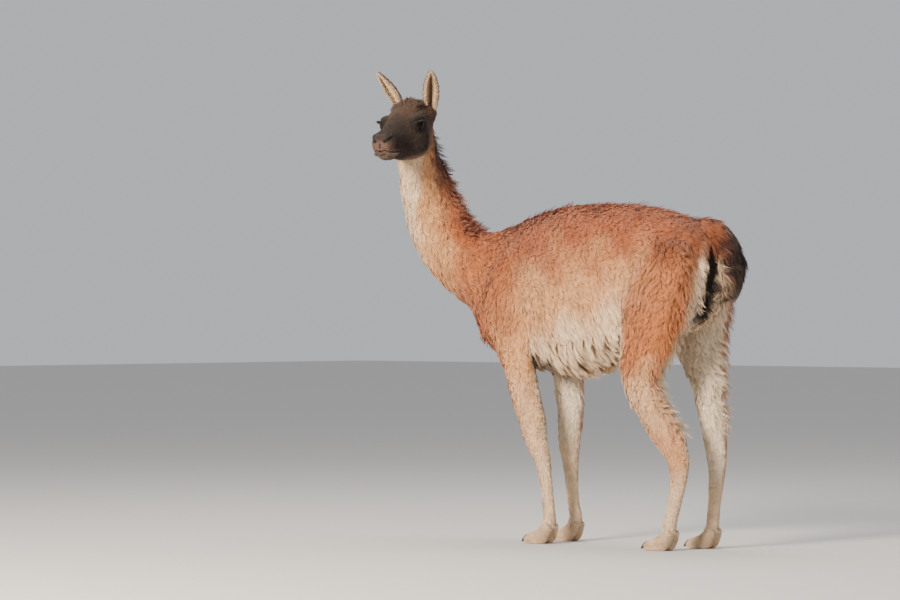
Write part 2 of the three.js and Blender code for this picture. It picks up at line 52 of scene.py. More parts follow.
head_axes = np.array(
    Matrix.Rotation(HEAD_TURN, 3, "Z") @ Matrix.Rotation(HEAD_PITCH, 3, "Y")
)


def head_to_animal(points):
    return np.asarray(points, float) @ head_axes.T + NAPE


def animal_to_head(points):
    return (points - NAPE) @ head_axes


eye_low, eye_high = (np.array(c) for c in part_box("left_eye"))
SHIFT = head_to_animal(EYE) / 1000 - (eye_low + eye_high) / 2
SHIFT[2] = 0.0

# The studio: a flat pale floor under even pale air, with a large soft key light
# from the left of the lens, a fill from its right and a light from above.
VIEW_TURN, DISTANCE, LENS_PIXELS, EYE_LEVEL = math.radians(40), 12.0, 3660.0, 0.78
camera_back = Vector((-math.sin(VIEW_TURN), math.cos(VIEW_TURN), 0))
camera_right = Vector((-math.cos(VIEW_TURN), -math.sin(VIEW_TURN), 0))
feet = Vector((-SHIFT[0], -SHIFT[1], 0))

lens = bpy.data.cameras.new("studio_camera")
lens.lens, lens.sensor_width = LENS_PIXELS / 900 * 36, 36
lens.clip_end = 100
camera = bpy.data.objects.new("studio_camera", lens)
bpy.context.scene.collection.objects.link(camera)
camera.location = feet + camera_back * DISTANCE + Vector((0, 0, EYE_LEVEL))
gaze = -camera_back * LENS_PIXELS - camera_right * 177 + Vector((0, 0, 8))
camera.rotation_euler = gaze.to_track_quat("-Z", "Y").to_euler()
bpy.context.scene.camera = camera

bpy.ops.object.select_all(action="DESELECT")
bpy.ops.mesh.primitive_plane_add(size=60, location=(0, 0, 0))
floor = bpy.context.object
floor.name = "studio_floor"
floor_paint = bpy.data.materials.new("studio_floor")
floor_paint.use_nodes = True
floor_shader = floor_paint.node_tree.nodes["Principled BSDF"]
floor_shader.inputs["Base Color"].default_value = (0.62, 0.60, 0.57, 1)
floor_shader.inputs["Roughness"].default_value = 0.9
floor.data.materials.append(floor_paint)

sky = bpy.data.worlds.new("studio_air")
sky.use_nodes = True
sky.node_tree.nodes["Background"].inputs["Color"].default_value = (0.88, 0.90, 0.95, 1)
sky.node_tree.nodes["Background"].inputs["Strength"].default_value = 0.62
bpy.context.scene.world = sky

for name, right, up, back, size, power, tint in (
    ("key", -3.4, 3.2, 4.8, 1.5, 800, (1.0, 0.89, 0.76)),
    ("fill", 5.0, 2.2, 3.0, 3.0, 55, (1.0, 0.95, 0.9)),
    ("above", 0.0, 5.0, -1.5, 3.0, 130, (1.0, 0.97, 0.93)),
):
    lamp = bpy.data.lights.new(f"studio_{name}", "AREA")
    lamp.size, lamp.energy, lamp.color = size, power, tint
    place = bpy.data.objects.new(f"studio_{name}", lamp)
    bpy.context.scene.collection.objects.link(place)
    place.location = Vector((0, 0, up)) + camera_right * right + camera_back * back
    place.rotation_euler = (Vector((0, 0, 0.8)) - place.location).to_track_quat("-Z", "Y").to_euler()

# The skin: the hide of the whole animal over its flesh, one closed surface from
# nose to tail and feet, without a seam. It is lofted form by form, joined, and
# drawn smooth where neck, legs and tail grow out of the trunk.
SPLINE_STEPS = 160
FLESH_VOXEL = 0.008


def spline(points, t):
    """A Catmull-Rom curve through rows of numbers, at shares t of its length."""
    points = np.asarray(points, float)
    last = len(points) - 1
    place = np.clip(t, 0, 1) * last
    i = np.minimum(place.astype(int), last - 1)
    w = (place - i)[:, None]
    padded = np.vstack([2 * points[0] - points[1], points, 2 * points[-1] - points[-2]])
    p0, p1, p2, p3 = (padded[i + k] for k in range(4))
    m1, m2 = (p2 - p0) / 2, (p3 - p1) / 2
    return (
        p1 + m1 * w
        + (3 * (p2 - p1) - 2 * m1 - m2) * w**2
        + (2 * (p1 - p2) + m1 + m2) * w**3
    )


def unit(vectors):
    return vectors / np.maximum(np.linalg.norm(vectors, axis=-1, keepdims=True), 1e-9)


class Form:
    """A tube of flesh. A row is x, y, z, reach up, down, sideways, power, turn."""

    def __init__(self, rows):
        rows = np.array([list(r) + [2.0, 0.0][len(r) - 6:] for r in rows], float)
        self.t = np.linspace(0, 1, SPLINE_STEPS + 1)
        table = spline(rows, self.t)
        self.centre, self.reach, self.power = table[:, :3], table[:, 3:6], table[:, 6]
        ahead = spline(rows[:, :3], self.t + 1e-4) - spline(rows[:, :3], self.t - 1e-4)
        self.ahead = unit(ahead)
        turn = np.radians(table[:, 7])
        side = np.stack([-np.sin(turn), np.cos(turn), 0 * turn], 1)
        side -= self.ahead * (side * self.ahead).sum(1, keepdims=True)
        self.side = unit(side)
        self.up = np.cross(self.ahead, self.side)
        gap = np.linalg.norm(np.diff(self.centre, axis=0), axis=1)
        self.gap = np.append(gap, gap[-1])
        room = self.reach.max() + 60
        self.low, self.high = self.centre.min(0) - room, self.centre.max(0) + room

    def ring(self, i, sides, grow=0.0):
        angle = np.linspace(0, 2 * np.pi, sides, endpoint=False)
        c, s = np.cos(angle), np.sin(angle)
        across = np.sign(c) * np.abs(c) ** (2 / self.power[i])
        along = np.sign(s) * np.abs(s) ** (2 / self.power[i])
        up, down, side = self.reach[i] + grow
        tall = np.where(s > 0, up, down)
        return (
            self.centre[i]
            + (across * side)[:, None] * self.side[i]
            + (along * tall)[:, None] * self.up[i]
        )

    def locate(self, points):
        """Share along the form, angle round it and distance out of it, in mm."""
        out = np.empty((len(points), 3))
        for start in range(0, len(points), 40000):
            p = points[start:start + 40000]
            away = (p**2).sum(1)[:, None] + (self.centre**2).sum(1)[None] - 2 * p @ self.centre.T
            i = away.argmin(1)
            run = ((p - self.centre[i]) * self.ahead[i]).sum(1) / self.gap[i]
            place = np.clip(i + np.clip(run, -1, 1), 0, SPLINE_STEPS)
            a = np.minimum(place.astype(int), SPLINE_STEPS - 1)
            w = (place - a)[:, None]
            mix = lambda table: table[a] * (1 - w) + table[a + 1] * w
            offset = p - mix(self.centre)
            ahead, side, up, reach = mix(self.ahead), mix(self.side), mix(self.up), mix(self.reach)
            power = self.power[a]
            x, y, over = (offset * side).sum(1), (offset * up).sum(1), (offset * ahead).sum(1)
            u, v = x / reach[:, 2], y / np.where(y > 0, reach[:, 0], reach[:, 1])
            full = (np.abs(u) ** power + np.abs(v) ** power) ** (1 / power) + 1e-6
            flat = np.hypot(x, y)
            out_by = flat * (1 - 1 / full)
            over = np.where((place <= 0) | (place >= SPLINE_STEPS), np.abs(over), 0)
            out_by = np.where(over > 0, np.hypot(np.maximum(out_by, 0), over), out_by)
            end = np.minimum(place * self.gap[0], (SPLINE_STEPS - place) * self.gap[-1])
            out_by = np.maximum(out_by, -np.minimum(reach.min(1), end + 0.3))
            out[start:start + 40000] = np.stack([place / SPLINE_STEPS, np.arctan2(v, u), out_by], 1)
        return out[:, 0], out[:, 1], out[:, 2]

    def out_by(self, points):
        """Distance out of the form, worked out only for points that are near it."""
        near = ((points > self.low) & (points < self.high)).all(1)
        out = np.full(len(points), 500.0)
        if near.any():
            out[near] = self.locate(points[near])[2]
        return out

    def way(self, t):
        i = np.clip((t * SPLINE_STEPS).round().astype(int), 0, SPLINE_STEPS)
        return self.ahead[i], self.side[i], self.up[i]


def trunk_row(share, level, top, bottom, side):
    x = 636 - 1014 * (1 - share)
    return x, 0, level, top * 1118 - level, level - bottom * 1118, side, 2.15, 0


trunk = Form([
    trunk_row(0.0, 900, 0.865, 0.76, 32),
    trunk_row(0.035, 900, 0.925, 0.7, 84),
    trunk_row(0.1, 895, 0.952, 0.66, 118),
    trunk_row(0.185, 885, 0.978, 0.63, 136),
    trunk_row(0.3, 868, 0.996, 0.594, 141),
    trunk_row(0.42, 850, 1.0, 0.562, 147),
    trunk_row(0.54, 832, 0.998, 0.54, 146),
    trunk_row(0.66, 822, 0.984, 0.528, 136),
    trunk_row(0.77, 816, 0.958, 0.532, 118),
    trunk_row(0.87, 806, 0.915, 0.545, 100),
    trunk_row(0.955, 772, 0.84, 0.564, 76),
    trunk_row(1.0, 752, 0.745, 0.605, 32),
])
neck = Form([
    (440, 0, 880, 150, 170, 88, 2, 0),
    (545, 12, 893, 140, 150, 88, 2, 0),
    (640, 42, 930, 112, 122, 80, 2, 5),
    (718, 80, 1005, 98, 108, 73, 2, 18),
    (762, 120, 1098, 98, 84, 67, 2, 40),
    (772, 152, 1180, 96, 68, 62, 2, 65),
    (768, 184, 1270, 86, 58, 58, 2, 90),
    (758, 204, 1340, 72, 58, 56, 2, 102),
    (742, 213, 1381, 54, 52, 50, 2, 106),
])
tail = Form([
    (-280, 0, 1030, 26, 26, 28, 2, 0),
    (-335, -6, 1028, 26, 28, 30, 2, 0),
    (-375, -18, 996, 27, 30, 35, 2, 0),
    (-397, -30, 948, 27, 28, 39, 2, 0),
    (-402, -42, 898, 24, 25, 34, 2, 0),
    (-399, -49, 852, 16, 16, 23, 2, 0),
    (-393, -52, 824, 5, 5, 7, 2, 0),
])


def leg_form(mirror, rows):
    x, y = rows[-1][:2]
    rows = rows + [(x + 3, y, 70, 17, 20, 20), (x + 18, y, 42, 14, 16, 20)]
    return Form([(r[0], mirror * r[1], *r[2:], 2, 0) for r in rows])


SHOULDER = [
    (385, 62, 960, 52, 58, 34), (430, 82, 860, 84, 84, 44),
    (436, 92, 760, 90, 92, 47), (408, 102, 660, 66, 70, 43),
]
HIP = [(-250, 70, 985, 74, 78, 46), (-240, 92, 880, 124, 108, 62), (-216, 108, 770, 128, 106, 63)]
fore_left = leg_form(1, SHOULDER + [
    (380, 104, 590, 50, 52, 41), (353, 100, 480, 46, 48, 38), (328, 96, 408, 44, 44, 37),
    (314, 92, 342, 38, 34, 32), (293, 88, 280, 25, 27, 22), (279, 85, 210, 19, 20, 17),
    (273, 82, 144, 17, 19, 16), (268, 80, 86, 18, 21, 18),
])
fore_right = leg_form(-1, SHOULDER + [
    (355, 104, 590, 52, 54, 41), (333, 99, 480, 44, 46, 38), (327, 95, 404, 41, 42, 35),
    (328, 92, 337, 37, 34, 32), (323, 89, 275, 26, 28, 24), (315, 86, 205, 20, 22, 18),
    (304, 82, 136, 17, 19, 16), (292, 80, 86, 18, 21, 18),
])
hind_left = leg_form(1, HIP + [
    (-192, 116, 680, 104, 90, 57), (-165, 116, 600, 80, 68, 50), (-160, 114, 540, 64, 58, 44),
    (-190, 110, 470, 54, 50, 39), (-228, 106, 405, 50, 50, 36), (-268, 102, 350, 46, 50, 33),
    (-287, 100, 315, 37, 44, 29), (-297, 98, 270, 30, 35, 25), (-293, 96, 220, 24, 27, 21),
    (-268, 92, 130, 20, 22, 18), (-255, 90, 86, 18, 21, 18),
])
hind_right = leg_form(-1, HIP + [
    (-215, 114, 680, 104, 88, 57), (-235, 113, 600, 70, 64, 48), (-252, 110, 540, 56, 52, 42),
    (-262, 107, 470, 44, 46, 36), (-275, 104, 405, 38, 44, 33), (-284, 101, 350, 32, 42, 30),
    (-292, 99, 300, 29, 37, 26), (-297, 97, 250, 24, 28, 22), (-293, 94, 180, 20, 23, 18),
    (-289, 91, 124, 18, 20, 17), (-286, 90, 86, 18, 21, 18),
])
LEGS = {
    "fore_left": fore_left, "fore_right": fore_right,
    "hind_left": hind_left, "hind_right": hind_right,
}
FETLOCKS = {
    "fore_left": (268, 80), "fore_right": (292, -80),
    "hind_left": (-255, 90), "hind_right": (-286, -90),
}


def skull_row(share, level, up, down, side, power=2.1):
    return share * HEAD_LENGTH - 25, 0, level, up, down, side, power, 0


skull = Form([
    skull_row(0.0, 5, 50, 50, 38), skull_row(0.08, 5, 82, 74, 54), skull_row(0.19, 5, 97, 90, 62),
    skull_row(0.31, 5, 92, 98, 72), skull_row(0.435, 2, 73, 92, 66), skull_row(0.545, -4, 60, 82, 54),
    skull_row(0.655, -8, 51, 72, 44), skull_row(0.765, -14, 46, 62, 39, 2.2),
    skull_row(0.86, -20, 41, 56, 37, 2.3), skull_row(0.94, -25, 35, 48, 33, 2.3),
    skull_row(0.985, -29, 23, 34, 23, 2.2), skull_row(1.0, -30, 9, 13, 10),
])


def loft(form, rings, sides):
    """Vertices and faces of a closed tube through a form, in millimetres."""
    picks = np.linspace(0, SPLINE_STEPS, rings).round().astype(int)
    verts = [form.ring(i, sides) for i in picks]
    ends = [verts[0].mean(0), verts[-1].mean(0)]
    verts = np.vstack(verts + [ends])
    faces = []
    for i in range(rings - 1):
        for j in range(sides):
            a, b = i * sides + j, i * sides + (j + 1) % sides
            faces.append((a, b, b + sides, a + sides))
    top = (rings - 1) * sides
    for j in range(sides):
        faces.append((j, rings * sides, (j + 1) % sides))
        faces.append((top + j, top + (j + 1) % sides, rings * sides + 1))
    return verts, faces


def mesh_object(name, verts, faces):
    mesh = bpy.data.meshes.new(name)
    mesh.from_pydata([tuple(v) for v in verts], [], faces)
    made = bpy.data.objects.new(name, mesh)
    bpy.context.scene.collection.objects.link(made)
    return made


def only(*objects):
    bpy.ops.object.select_all(action="DESELECT")
    for o in objects:
        o.select_set(True)
    bpy.context.view_layer.objects.active = objects[0]


def toe_form(fetlock, mirror, rows):
    spread = mirror * math.radians(9)
    x, y = fetlock
    return Form([
        (x + 14 + 62 * share * math.cos(spread), y + mirror * 17 + 62 * share * math.sin(spread),
         level, up, down, side, 2, 0)
        for share, level, up, down, side in rows
    ])


TOE = [(-0.42, 62, 20, 12, 14), (-0.15, 42, 20, 22, 17), (0.2, 24, 22, 29, 19),
       (0.6, 18, 18, 23, 18.5), (0.95, 14, 12, 18, 15), (1.1, 11, 5, 8, 7)]
toes = [toe_form(place, mirror, TOE) for place in FETLOCKS.values() for mirror in (1, -1)]



def in_place(points):
    """Millimetres of the animal's own coordinates to metres of the frame."""
    return points / 1000 - SHIFT


def from_place(points):
    return (points + SHIFT) * 1000


def face_outward(*objects):
    """Turns every face of closed meshes to look out of them."""
    only(*objects)
    bpy.ops.object.mode_set(mode="EDIT")
    bpy.ops.mesh.select_all(action="SELECT")
    bpy.ops.mesh.normals_make_consistent(inside=False)
    bpy.ops.object.mode_set(mode="OBJECT")


parts = []
for form, rings, sides in (
    [(trunk, 60, 48), (neck, 50, 40), (tail, 24, 20)]
    + [(leg, 70, 24) for leg in LEGS.values()]
    + [(toe, 16, 16) for toe in toes]
):
    verts, faces = loft(form, rings, sides)
    parts.append(mesh_object("flesh", in_place(verts), faces))
verts, faces = loft(skull, 50, 40)
parts.append(mesh_object("flesh", in_place(head_to_animal(verts)), faces))
face_outward(*parts)
bpy.ops.object.join()
skin = bpy.context.object
skin.name = "skin"
skin.data.remesh_voxel_size = FLESH_VOXEL
skin.data.use_remesh_fix_poles = False
bpy.ops.object.voxel_remesh()


def points_of(mesh):
    flat = np.empty(len(mesh.vertices) * 3, np.float32)
    mesh.vertices.foreach_get("co", flat)
    return flat.reshape(-1, 3).astype(float)


def normals_of(mesh):
    flat = np.empty(len(mesh.vertices) * 3, np.float32)
    mesh.vertex_normals.foreach_get("vector", flat)
    return flat.reshape(-1, 3).astype(float)


def put_points(mesh, points):
    mesh.vertices.foreach_set("co", points.astype(np.float32).ravel())
    mesh.update()


def melt(a, b, width):
    """The nearer of two distances, rounded where they are close to each other."""
    h = np.clip(0.5 + 0.5 * (b - a) / width, 0, 1)
    return b * (1 - h) + a * h - width * h * (1 - h)


def carve(a, cut, width):
    """A distance with a form cut out of it, its edges rounded."""
    return -melt(-a, cut, width)


def ball(points, at, radii):
    q = (points - np.array(at)) / np.array(radii)
    k = np.linalg.norm(q, axis=1) + 1e-9
    return k * (k - 1) / (np.linalg.norm(q / np.array(radii), axis=1) + 1e-9)


def cord(points, path, radius):
    best = np.full(len(points), 1e9)
    for a, b in zip(path[:-1], path[1:]):
        line = b - a
        along = np.clip(((points - a) @ line) / (line @ line), 0, 1)
        best = np.minimum(best, np.linalg.norm(points - a - along[:, None] * line, axis=1))
    return best - radius


def left_half(points):
    """Points of the head's frame, with those right of its middle mirrored left."""
    return np.stack([points[:, 0], np.abs(points[:, 1]), points[:, 2]], 1)


def skull_point(share, degrees, grow=0.0):
    i = int(round(share * SPLINE_STEPS))
    k = int(round((degrees % 360) * 10)) % 3600
    return skull.ring(i, 3600, grow)[k]


GAZE = np.array([math.cos(math.radians(64)), math.sin(math.radians(64)), 0.0])
LID_WAY = np.array([-GAZE[1], GAZE[0], 0])

# The mouth runs from its corners forward to the cleft of the upper lip
MOUTH_SHARES = (0.70, 0.76, 0.82, 0.88, 0.94, 0.975)
mouth_left = [skull_point(share, -27 + 1.5 * i, 1) for i, share in enumerate(MOUTH_SHARES)]
mouth_front = np.array([HEAD_LENGTH - 22, 0, -41])
mouth = mouth_left + [mouth_front] + [p * (1, -1, 1) for p in mouth_left[::-1]]
mouth = [np.asarray(p, float) for p in mouth]
cleft = [np.array([HEAD_LENGTH - 23, 0, -17.0]), mouth_front]
NOSTRIL = ((26, 18, -7), (29, 23, -4), (35, 29, 0), (44, 32, 4))
nostril = [np.array([HEAD_LENGTH - back, side, level], float) for back, side, level in NOSTRIL]


def head_distance(p, fine):
    """How far points of the head's own frame lie outside its hide."""
    t, angle, out_by = skull.locate(p)
    q = left_half(p)
    d = melt(out_by, ball(q, (108, 49, 29), (33, 25, 25)), 12)
    d = melt(d, ball(q, (112, 55, 49), (30, 15, 9)), 9)
    d = melt(d, ball(q, (84, 44, -34), (44, 24, 40)), 18)
    d = melt(d, ball(q, (0, 44, 54), (32, 24, 26)), 30)
    d = melt(d, ball(q, (HEAD_LENGTH - 55, 15, -4), (28, 18, 18)), 18)
    d = melt(d, ball(q, (HEAD_LENGTH - 48, 17, -24), (25, 17, 15)), 12)
    d = melt(d, ball(q, (HEAD_LENGTH - 52, 0, -53), (22, 20, 13)), 10)
    if not fine:
        return d
    rel = q - EYE
    u, v, w = rel @ LID_WAY, rel[:, 2], rel @ GAZE
    oval = np.hypot(u / 1.34, v / 0.84 + 0.0016 * u * u)
    lid = np.hypot(oval - 16.0, (w - 13.0) * 0.8) - 4.4
    d = melt(d, lid, 5)
    d = carve(d, np.where(w > 0, oval - 13.4, 99), 2)
    d = np.maximum(d, EYE_RADIUS + 0.4 - np.linalg.norm(rel, axis=1))
    low_lip = [m + (0, 0, -6.5) for m in mouth]
    d = melt(d, np.minimum(cord(p, [m + (-1, 0, 5.5) for m in mouth], 5.0), cord(p, low_lip, 4.6)), 8)
    d = carve(d, cord(p, mouth, 1.5), 1.5)
    d = carve(d, cord(p, cleft, 1.2), 2.5)
    rim = cord(q, [s + (0, 0.5, 4.5) for s in nostril], 3.0)
    d = melt(d, rim, 8)
    return carve(d, cord(q, nostril, 2.6), 3)


CLEFT_BEHIND = ((-372, 14, 955), (-352, 20, 860), (-330, 16, 700), (-300, 8, 600))
cleft_behind = [np.array(place, float) for place in CLEFT_BEHIND]


def flesh_distance(points, fine=False):
    """How far points lie outside the whole hide, in mm, with the joins rounded."""
    d = melt(trunk.out_by(points), neck.out_by(points), 26)
    for leg in LEGS.values():
        d = melt(d, leg.out_by(points), 22)
    d = melt(d, tail.out_by(points), 8)
    near = np.linalg.norm(points - NAPE, axis=1) < 420
    head = np.full(len(points), 500.0)
    if near.any():
        head[near] = head_distance(animal_to_head(points[near]), fine)
    d = melt(d, head, 14)
    d = carve(d, cord(points, cleft_behind, 24.0), 20)
    low = points[:, 2] < 110
    if low.any():
        q = points[low]
        near = d[low]
        for toe in toes:
            near = melt(near, toe.out_by(q), 9)
        for x, y in FETLOCKS.values():
            ahead = q[:, 0] - x - 16
            wide = 1.2 + 0.09 * np.maximum(ahead, 0)
            split = np.maximum(np.abs(q[:, 1] - y) - wide, 6 - ahead)
            near = carve(near, np.maximum(split, q[:, 2] - 52 + 0.3 * ahead), 4)
        d[low] = near
    return np.maximum(d, -points[:, 2] + 0.4)


def settle(mesh, pick, rounds, fine, share=0.8, ease=0.3):
    """Draws picked points onto the hide's true form. Those that stray are evened out."""
    pairs = np.empty(len(mesh.edges) * 2, int)
    mesh.edges.foreach_get("vertices", pairs)
    a, b = pairs.reshape(-1, 2).T
    total = len(pick)
    valence = np.maximum(np.bincount(a, minlength=total) + np.bincount(b, minlength=total), 1)

    def mean_of(here):
        return np.stack([
            np.bincount(a, here[b, axis], total) + np.bincount(b, here[a, axis], total)
            for axis in range(3)
        ], 1) / valence[:, None]

    before = np.full(total, 1e9)
    for k in range(rounds):
        here = from_place(points_of(mesh))
        d = np.zeros(total)
        d[pick] = flesh_distance(here[pick], fine)
        stray = (np.abs(d) > 1.2) & (np.abs(d) > 0.85 * before)
        before = np.where(stray, 1e9, np.abs(d))
        here -= normals_of(mesh) * (np.clip(d, -6, 6) * ~stray)[:, None] * share
        for _ in range(8):
            here[stray] = mean_of(here)[stray]
        if k < rounds - 1:
            here[pick] += (mean_of(here) - here)[pick] * ease
        here[:, 2] = np.maximum(here[:, 2], 0.4)
        put_points(mesh, in_place(here))


settle(skin.data, np.ones(len(skin.data.vertices), bool), 7, False)

# Face and feet are cut finer and drawn again, with lids, lips and nostrils
for stage in range(4):
    work = bmesh.new()
    work.from_mesh(skin.data)
    place = from_place(np.array([v.co for v in work.verts]))
    here = animal_to_head(place)
    face = (here[:, 0] > -20) & (np.abs(here[:, 1]) < 110) & (np.abs(here[:, 2] - 5) < 125)
    mirrored = left_half(here)
    if stage == 0:
        face |= place[:, 2] < 70
    if stage >= 1:
        eye_near = np.linalg.norm(mirrored - EYE, axis=1) < 34
        nose_near = (here[:, 0] > 196) if stage == 1 else (here[:, 0] > 226)
        face &= eye_near | nose_near
    if stage >= 2:
        drawn = np.minimum(cord(here, mouth, 5), cord(here, cleft, 5))
        drawn = np.minimum(drawn, cord(mirrored, nostril, 8))
        face &= (drawn < 0)
    if stage in (1, 2):
        for x, y in FETLOCKS.values():
            between = (np.abs(place[:, 1] - y) < 9) & (np.abs(place[:, 0] - x - 50) < 48)
            face |= between & (place[:, 2] < 58)
    if stage == 3:
        face &= cord(mirrored, nostril, 6) < 0
    edges = [e for e in work.edges if face[e.verts[0].index] and face[e.verts[1].index]]
    bmesh.ops.subdivide_edges(work, edges=edges, cuts=1, use_grid_fill=True)
    work.to_mesh(skin.data)
    work.free()
    place = from_place(points_of(skin.data))
    here = animal_to_head(place)
    face = (here[:, 0] > -40) & (np.abs(here[:, 1]) < 120) & (here[:, 2] > -130)
    face |= place[:, 2] < 80
    settle(skin.data, face, 4, stage > 0, 0.7, 0.25)
for polygon in skin.data.polygons:
    polygon.use_smooth = True

FORMS = [trunk, neck, *LEGS.values(), tail, skull, *toes]
TRUNK, NECK, FORE, HIND, TAIL, HEAD, TOES = 0, 1, (2, 3), (4, 5), 6, 7, 8
PATCHES = [(0.01, 0.01, 0.98, 0.29), (0.01, 0.37, 0.47, 0.20)] + [
    (x, y, 0.48, 0.155) for y in (0.66, 0.83) for x in (0.01, 0.505)
] + [(0.01, 0.585, 0.47, 0.06), (0.50, 0.37, 0.485, 0.275)] + [
    (0.01 + 0.123 * k, 0.32, 0.115, 0.03) for k in range(8)
]


def own_place(kind, points):
    """Share along a point's own form and angle round it."""
    t, angle = np.zeros(len(points)), np.zeros(len(points))
    for k, form in enumerate(FORMS):
        mine = kind == k
        if mine.any():
            p = animal_to_head(points[mine]) if k == HEAD else points[mine]
            t[mine], angle[mine], _ = form.locate(p)
    return t, angle


def nearest_form(points):
    best, kind = np.full(len(points), 1e9), np.zeros(len(points), int)
    for k, form in enumerate(FORMS):
        p = animal_to_head(points) if k == HEAD else points
        out_by = form.locate(p)[2] - (6 if k == HEAD else 0)
        if k >= TOES:
            out_by[points[:, 2] > 75] = 1e9
        kind[out_by < best] = k
        best = np.minimum(best, out_by)
    return kind


def on_unwrap(kind, t, angle):
    patch = np.array(PATCHES)[kind]
    across = 0.5 + angle / (2 * np.pi) * 0.94
    return np.stack([patch[:, 0] + patch[:, 2] * t, patch[:, 1] + patch[:, 3] * across], 1)


def srgb(r, g, b):
    c = np.array([r, g, b], float) / 255
    return np.where(c <= 0.04045, c / 12.92, ((c + 0.055) / 1.055) ** 2.4)


def waves(points, size, seed=0.0):
    """Soft uneven waves between -1 and 1, a few lengths of them laid together."""
    q = points / size + seed
    a = np.sin(q[:, 0] * 1.7 + 1.3 * np.sin(q[:, 2] * 1.1 + seed) + q[:, 1])
    b = np.sin(q[:, 2] * 2.3 + 1.7 * np.sin(q[:, 1] * 1.3 - q[:, 0] * 0.7))
    c = np.sin(q[:, 1] * 2.9 + q[:, 0] * 1.9 + 2.1 * np.sin(q[:, 2] * 0.6))
    return (a + b + c) / 3


def ramp(value, start, end):
    w = np.clip((value - start) / (end - start), 0, 1)
    return (w * w * (3 - 2 * w))[:, None]


def paint(colour, other, amount):
    return colour * (1 - amount) + np.asarray(other) * amount


RUFOUS, FLANK, CREAM, WHITE = srgb(170, 93, 52), srgb(218, 160, 108), srgb(238, 208, 172), srgb(242, 222, 194)
CHEST, FOOT, EAR_BROWN = srgb(178, 100, 56), srgb(214, 184, 150), srgb(104, 80, 64)
THIGH, ORANGE, NAPE_BROWN, NIGHT = srgb(192, 118, 70), srgb(200, 122, 70), srgb(84, 48, 34), srgb(30, 23, 20)
FACE, CHEEK, BROW, MUZZLE = srgb(66, 52, 44), srgb(45, 34, 29), srgb(80, 61, 49), srgb(110, 84, 69)


def trunk_marks(points, t, angle, wave, fine):
    x, y, z = points.T
    up = np.sin(angle)
    c = paint(np.tile(FLANK, (len(points), 1)), RUFOUS, ramp(up + 0.2 * wave, -0.05, 0.75))
    c = paint(c, CREAM, ramp(-up + 0.16 * wave - 0.6 * ramp(x, 250, 420)[:, 0], 0.12, 0.62))
    groin = ramp(x + 40 * wave, 40, -100) * ramp(-z + 16 * wave, -930, -740)
    c = paint(c, CREAM, 0.8 * groin)
    c = paint(c, CHEST, 0.85 * ramp(x + 20 * wave, 380, 540))
    c = paint(c, srgb(118, 62, 36), 0.75 * ramp(-x + 30 * wave, 180, 320) * ramp(up, 0.0, 0.6))
    streak = waves(points * (0.45, 1.2, 1.2) + points[:, 2:] * (0.5, 0, 0), 24, 8)[:, None]
    c = c * (1 + 0.09 * streak)
    rear = ramp(-x + 12 * wave, 300, 335) * ramp(-z, -980, -920)
    c = paint(c, CREAM, rear * ramp(-np.abs(y - 12), -74, -60))
    # Painted shade: the cleft between the buttocks under the tail is painted near black, fading out lower
    # down.
    gap = ramp(-np.abs(y - 24) + 4 * fine, -38, -20)
    gap = gap * ramp(-z, -985, -955) * ramp(z + 12 * wave, 690, 770)
    return paint(c, srgb(40, 28, 23), ramp(-x + 6 * wave, 285, 305) * gap)


def neck_marks(points, t, angle, wave, fine):
    up = np.sin(angle)
    c = paint(np.tile(FLANK, (len(points), 1)), RUFOUS, ramp(up + 0.2 * wave, -0.15, 0.7))
    c = paint(c, NAPE_BROWN, ramp(t, 0.5, 0.8) * ramp(up + 0.12 * wave, -0.2, 0.5))
    c = paint(c, CHEST, 0.8 * ramp(-t + 0.05 * wave, -0.42, -0.2))
    bib = ramp(-up + 0.14 * wave, 0.42, 0.86) * ramp(t + 0.05 * wave, 0.34, 0.56)
    return paint(c, CREAM, bib)


def fore_marks(points, t, angle, wave, fine, mirror):
    z = points[:, 2]
    outer, front = np.cos(angle) * mirror, np.sin(angle)
    c = paint(np.tile(RUFOUS, (len(points), 1)), FLANK, ramp(-z + 50 * wave, -880, -600))
    c = paint(c, CREAM, 0.45 * ramp(-z + 40 * wave, -640, -450))
    c = paint(c, ORANGE, 0.5 * ramp(front + 0.2 * fine, 0.3, 0.9))
    inner = ramp(-outer - 0.25 * front + 0.15 * wave, -0.05, 0.4)
    c = paint(c, WHITE, inner * ramp(-z, -820, -680))
    c = paint(c, CREAM, 0.85 * ramp(-z + 30 * wave, -430, -250) * (1 - 0.7 * ramp(front, 0.2, 0.8)))
    return paint(c, FOOT, 0.5 * ramp(-z, -90, -40))


def hind_marks(points, t, angle, wave, fine, mirror):
    z = points[:, 2]
    outer, front = np.cos(angle) * mirror, np.sin(angle)
    c = paint(np.tile(THIGH, (len(points), 1)), RUFOUS, 0.8 * ramp(z + 40 * wave, 780, 980))
    c = paint(c, srgb(110, 56, 32), 0.75 * ramp(z + 40 * wave, 900, 1020))
    c = paint(c, paint(FLANK, CREAM, 0.45), 0.9 * ramp(-z + 40 * wave, -660, -490))
    c = paint(c, CREAM, 0.9 * ramp(front + 0.12 * wave, 0.45, 0.9) * ramp(-z, -820, -640))
    edge = ramp(-front + 0.12 * wave, 0.6, 0.9) * ramp(-outer, -0.2, 0.1)
    c = paint(c, CREAM, edge * ramp(-z, -940, -880))
    c = paint(c, WHITE, ramp(-outer + 0.12 * wave, 0.05, 0.35))
    hock = ramp(-np.abs(z - 330), -100, -30) * ramp(outer + 0.2 * wave, -0.1, 0.6)
    c = paint(c, ORANGE, 0.4 * hock)
    c = paint(c, CREAM, 0.9 * ramp(-z + 30 * wave, -290, -190))
    return paint(c, FOOT, 0.5 * ramp(-z, -90, -40))


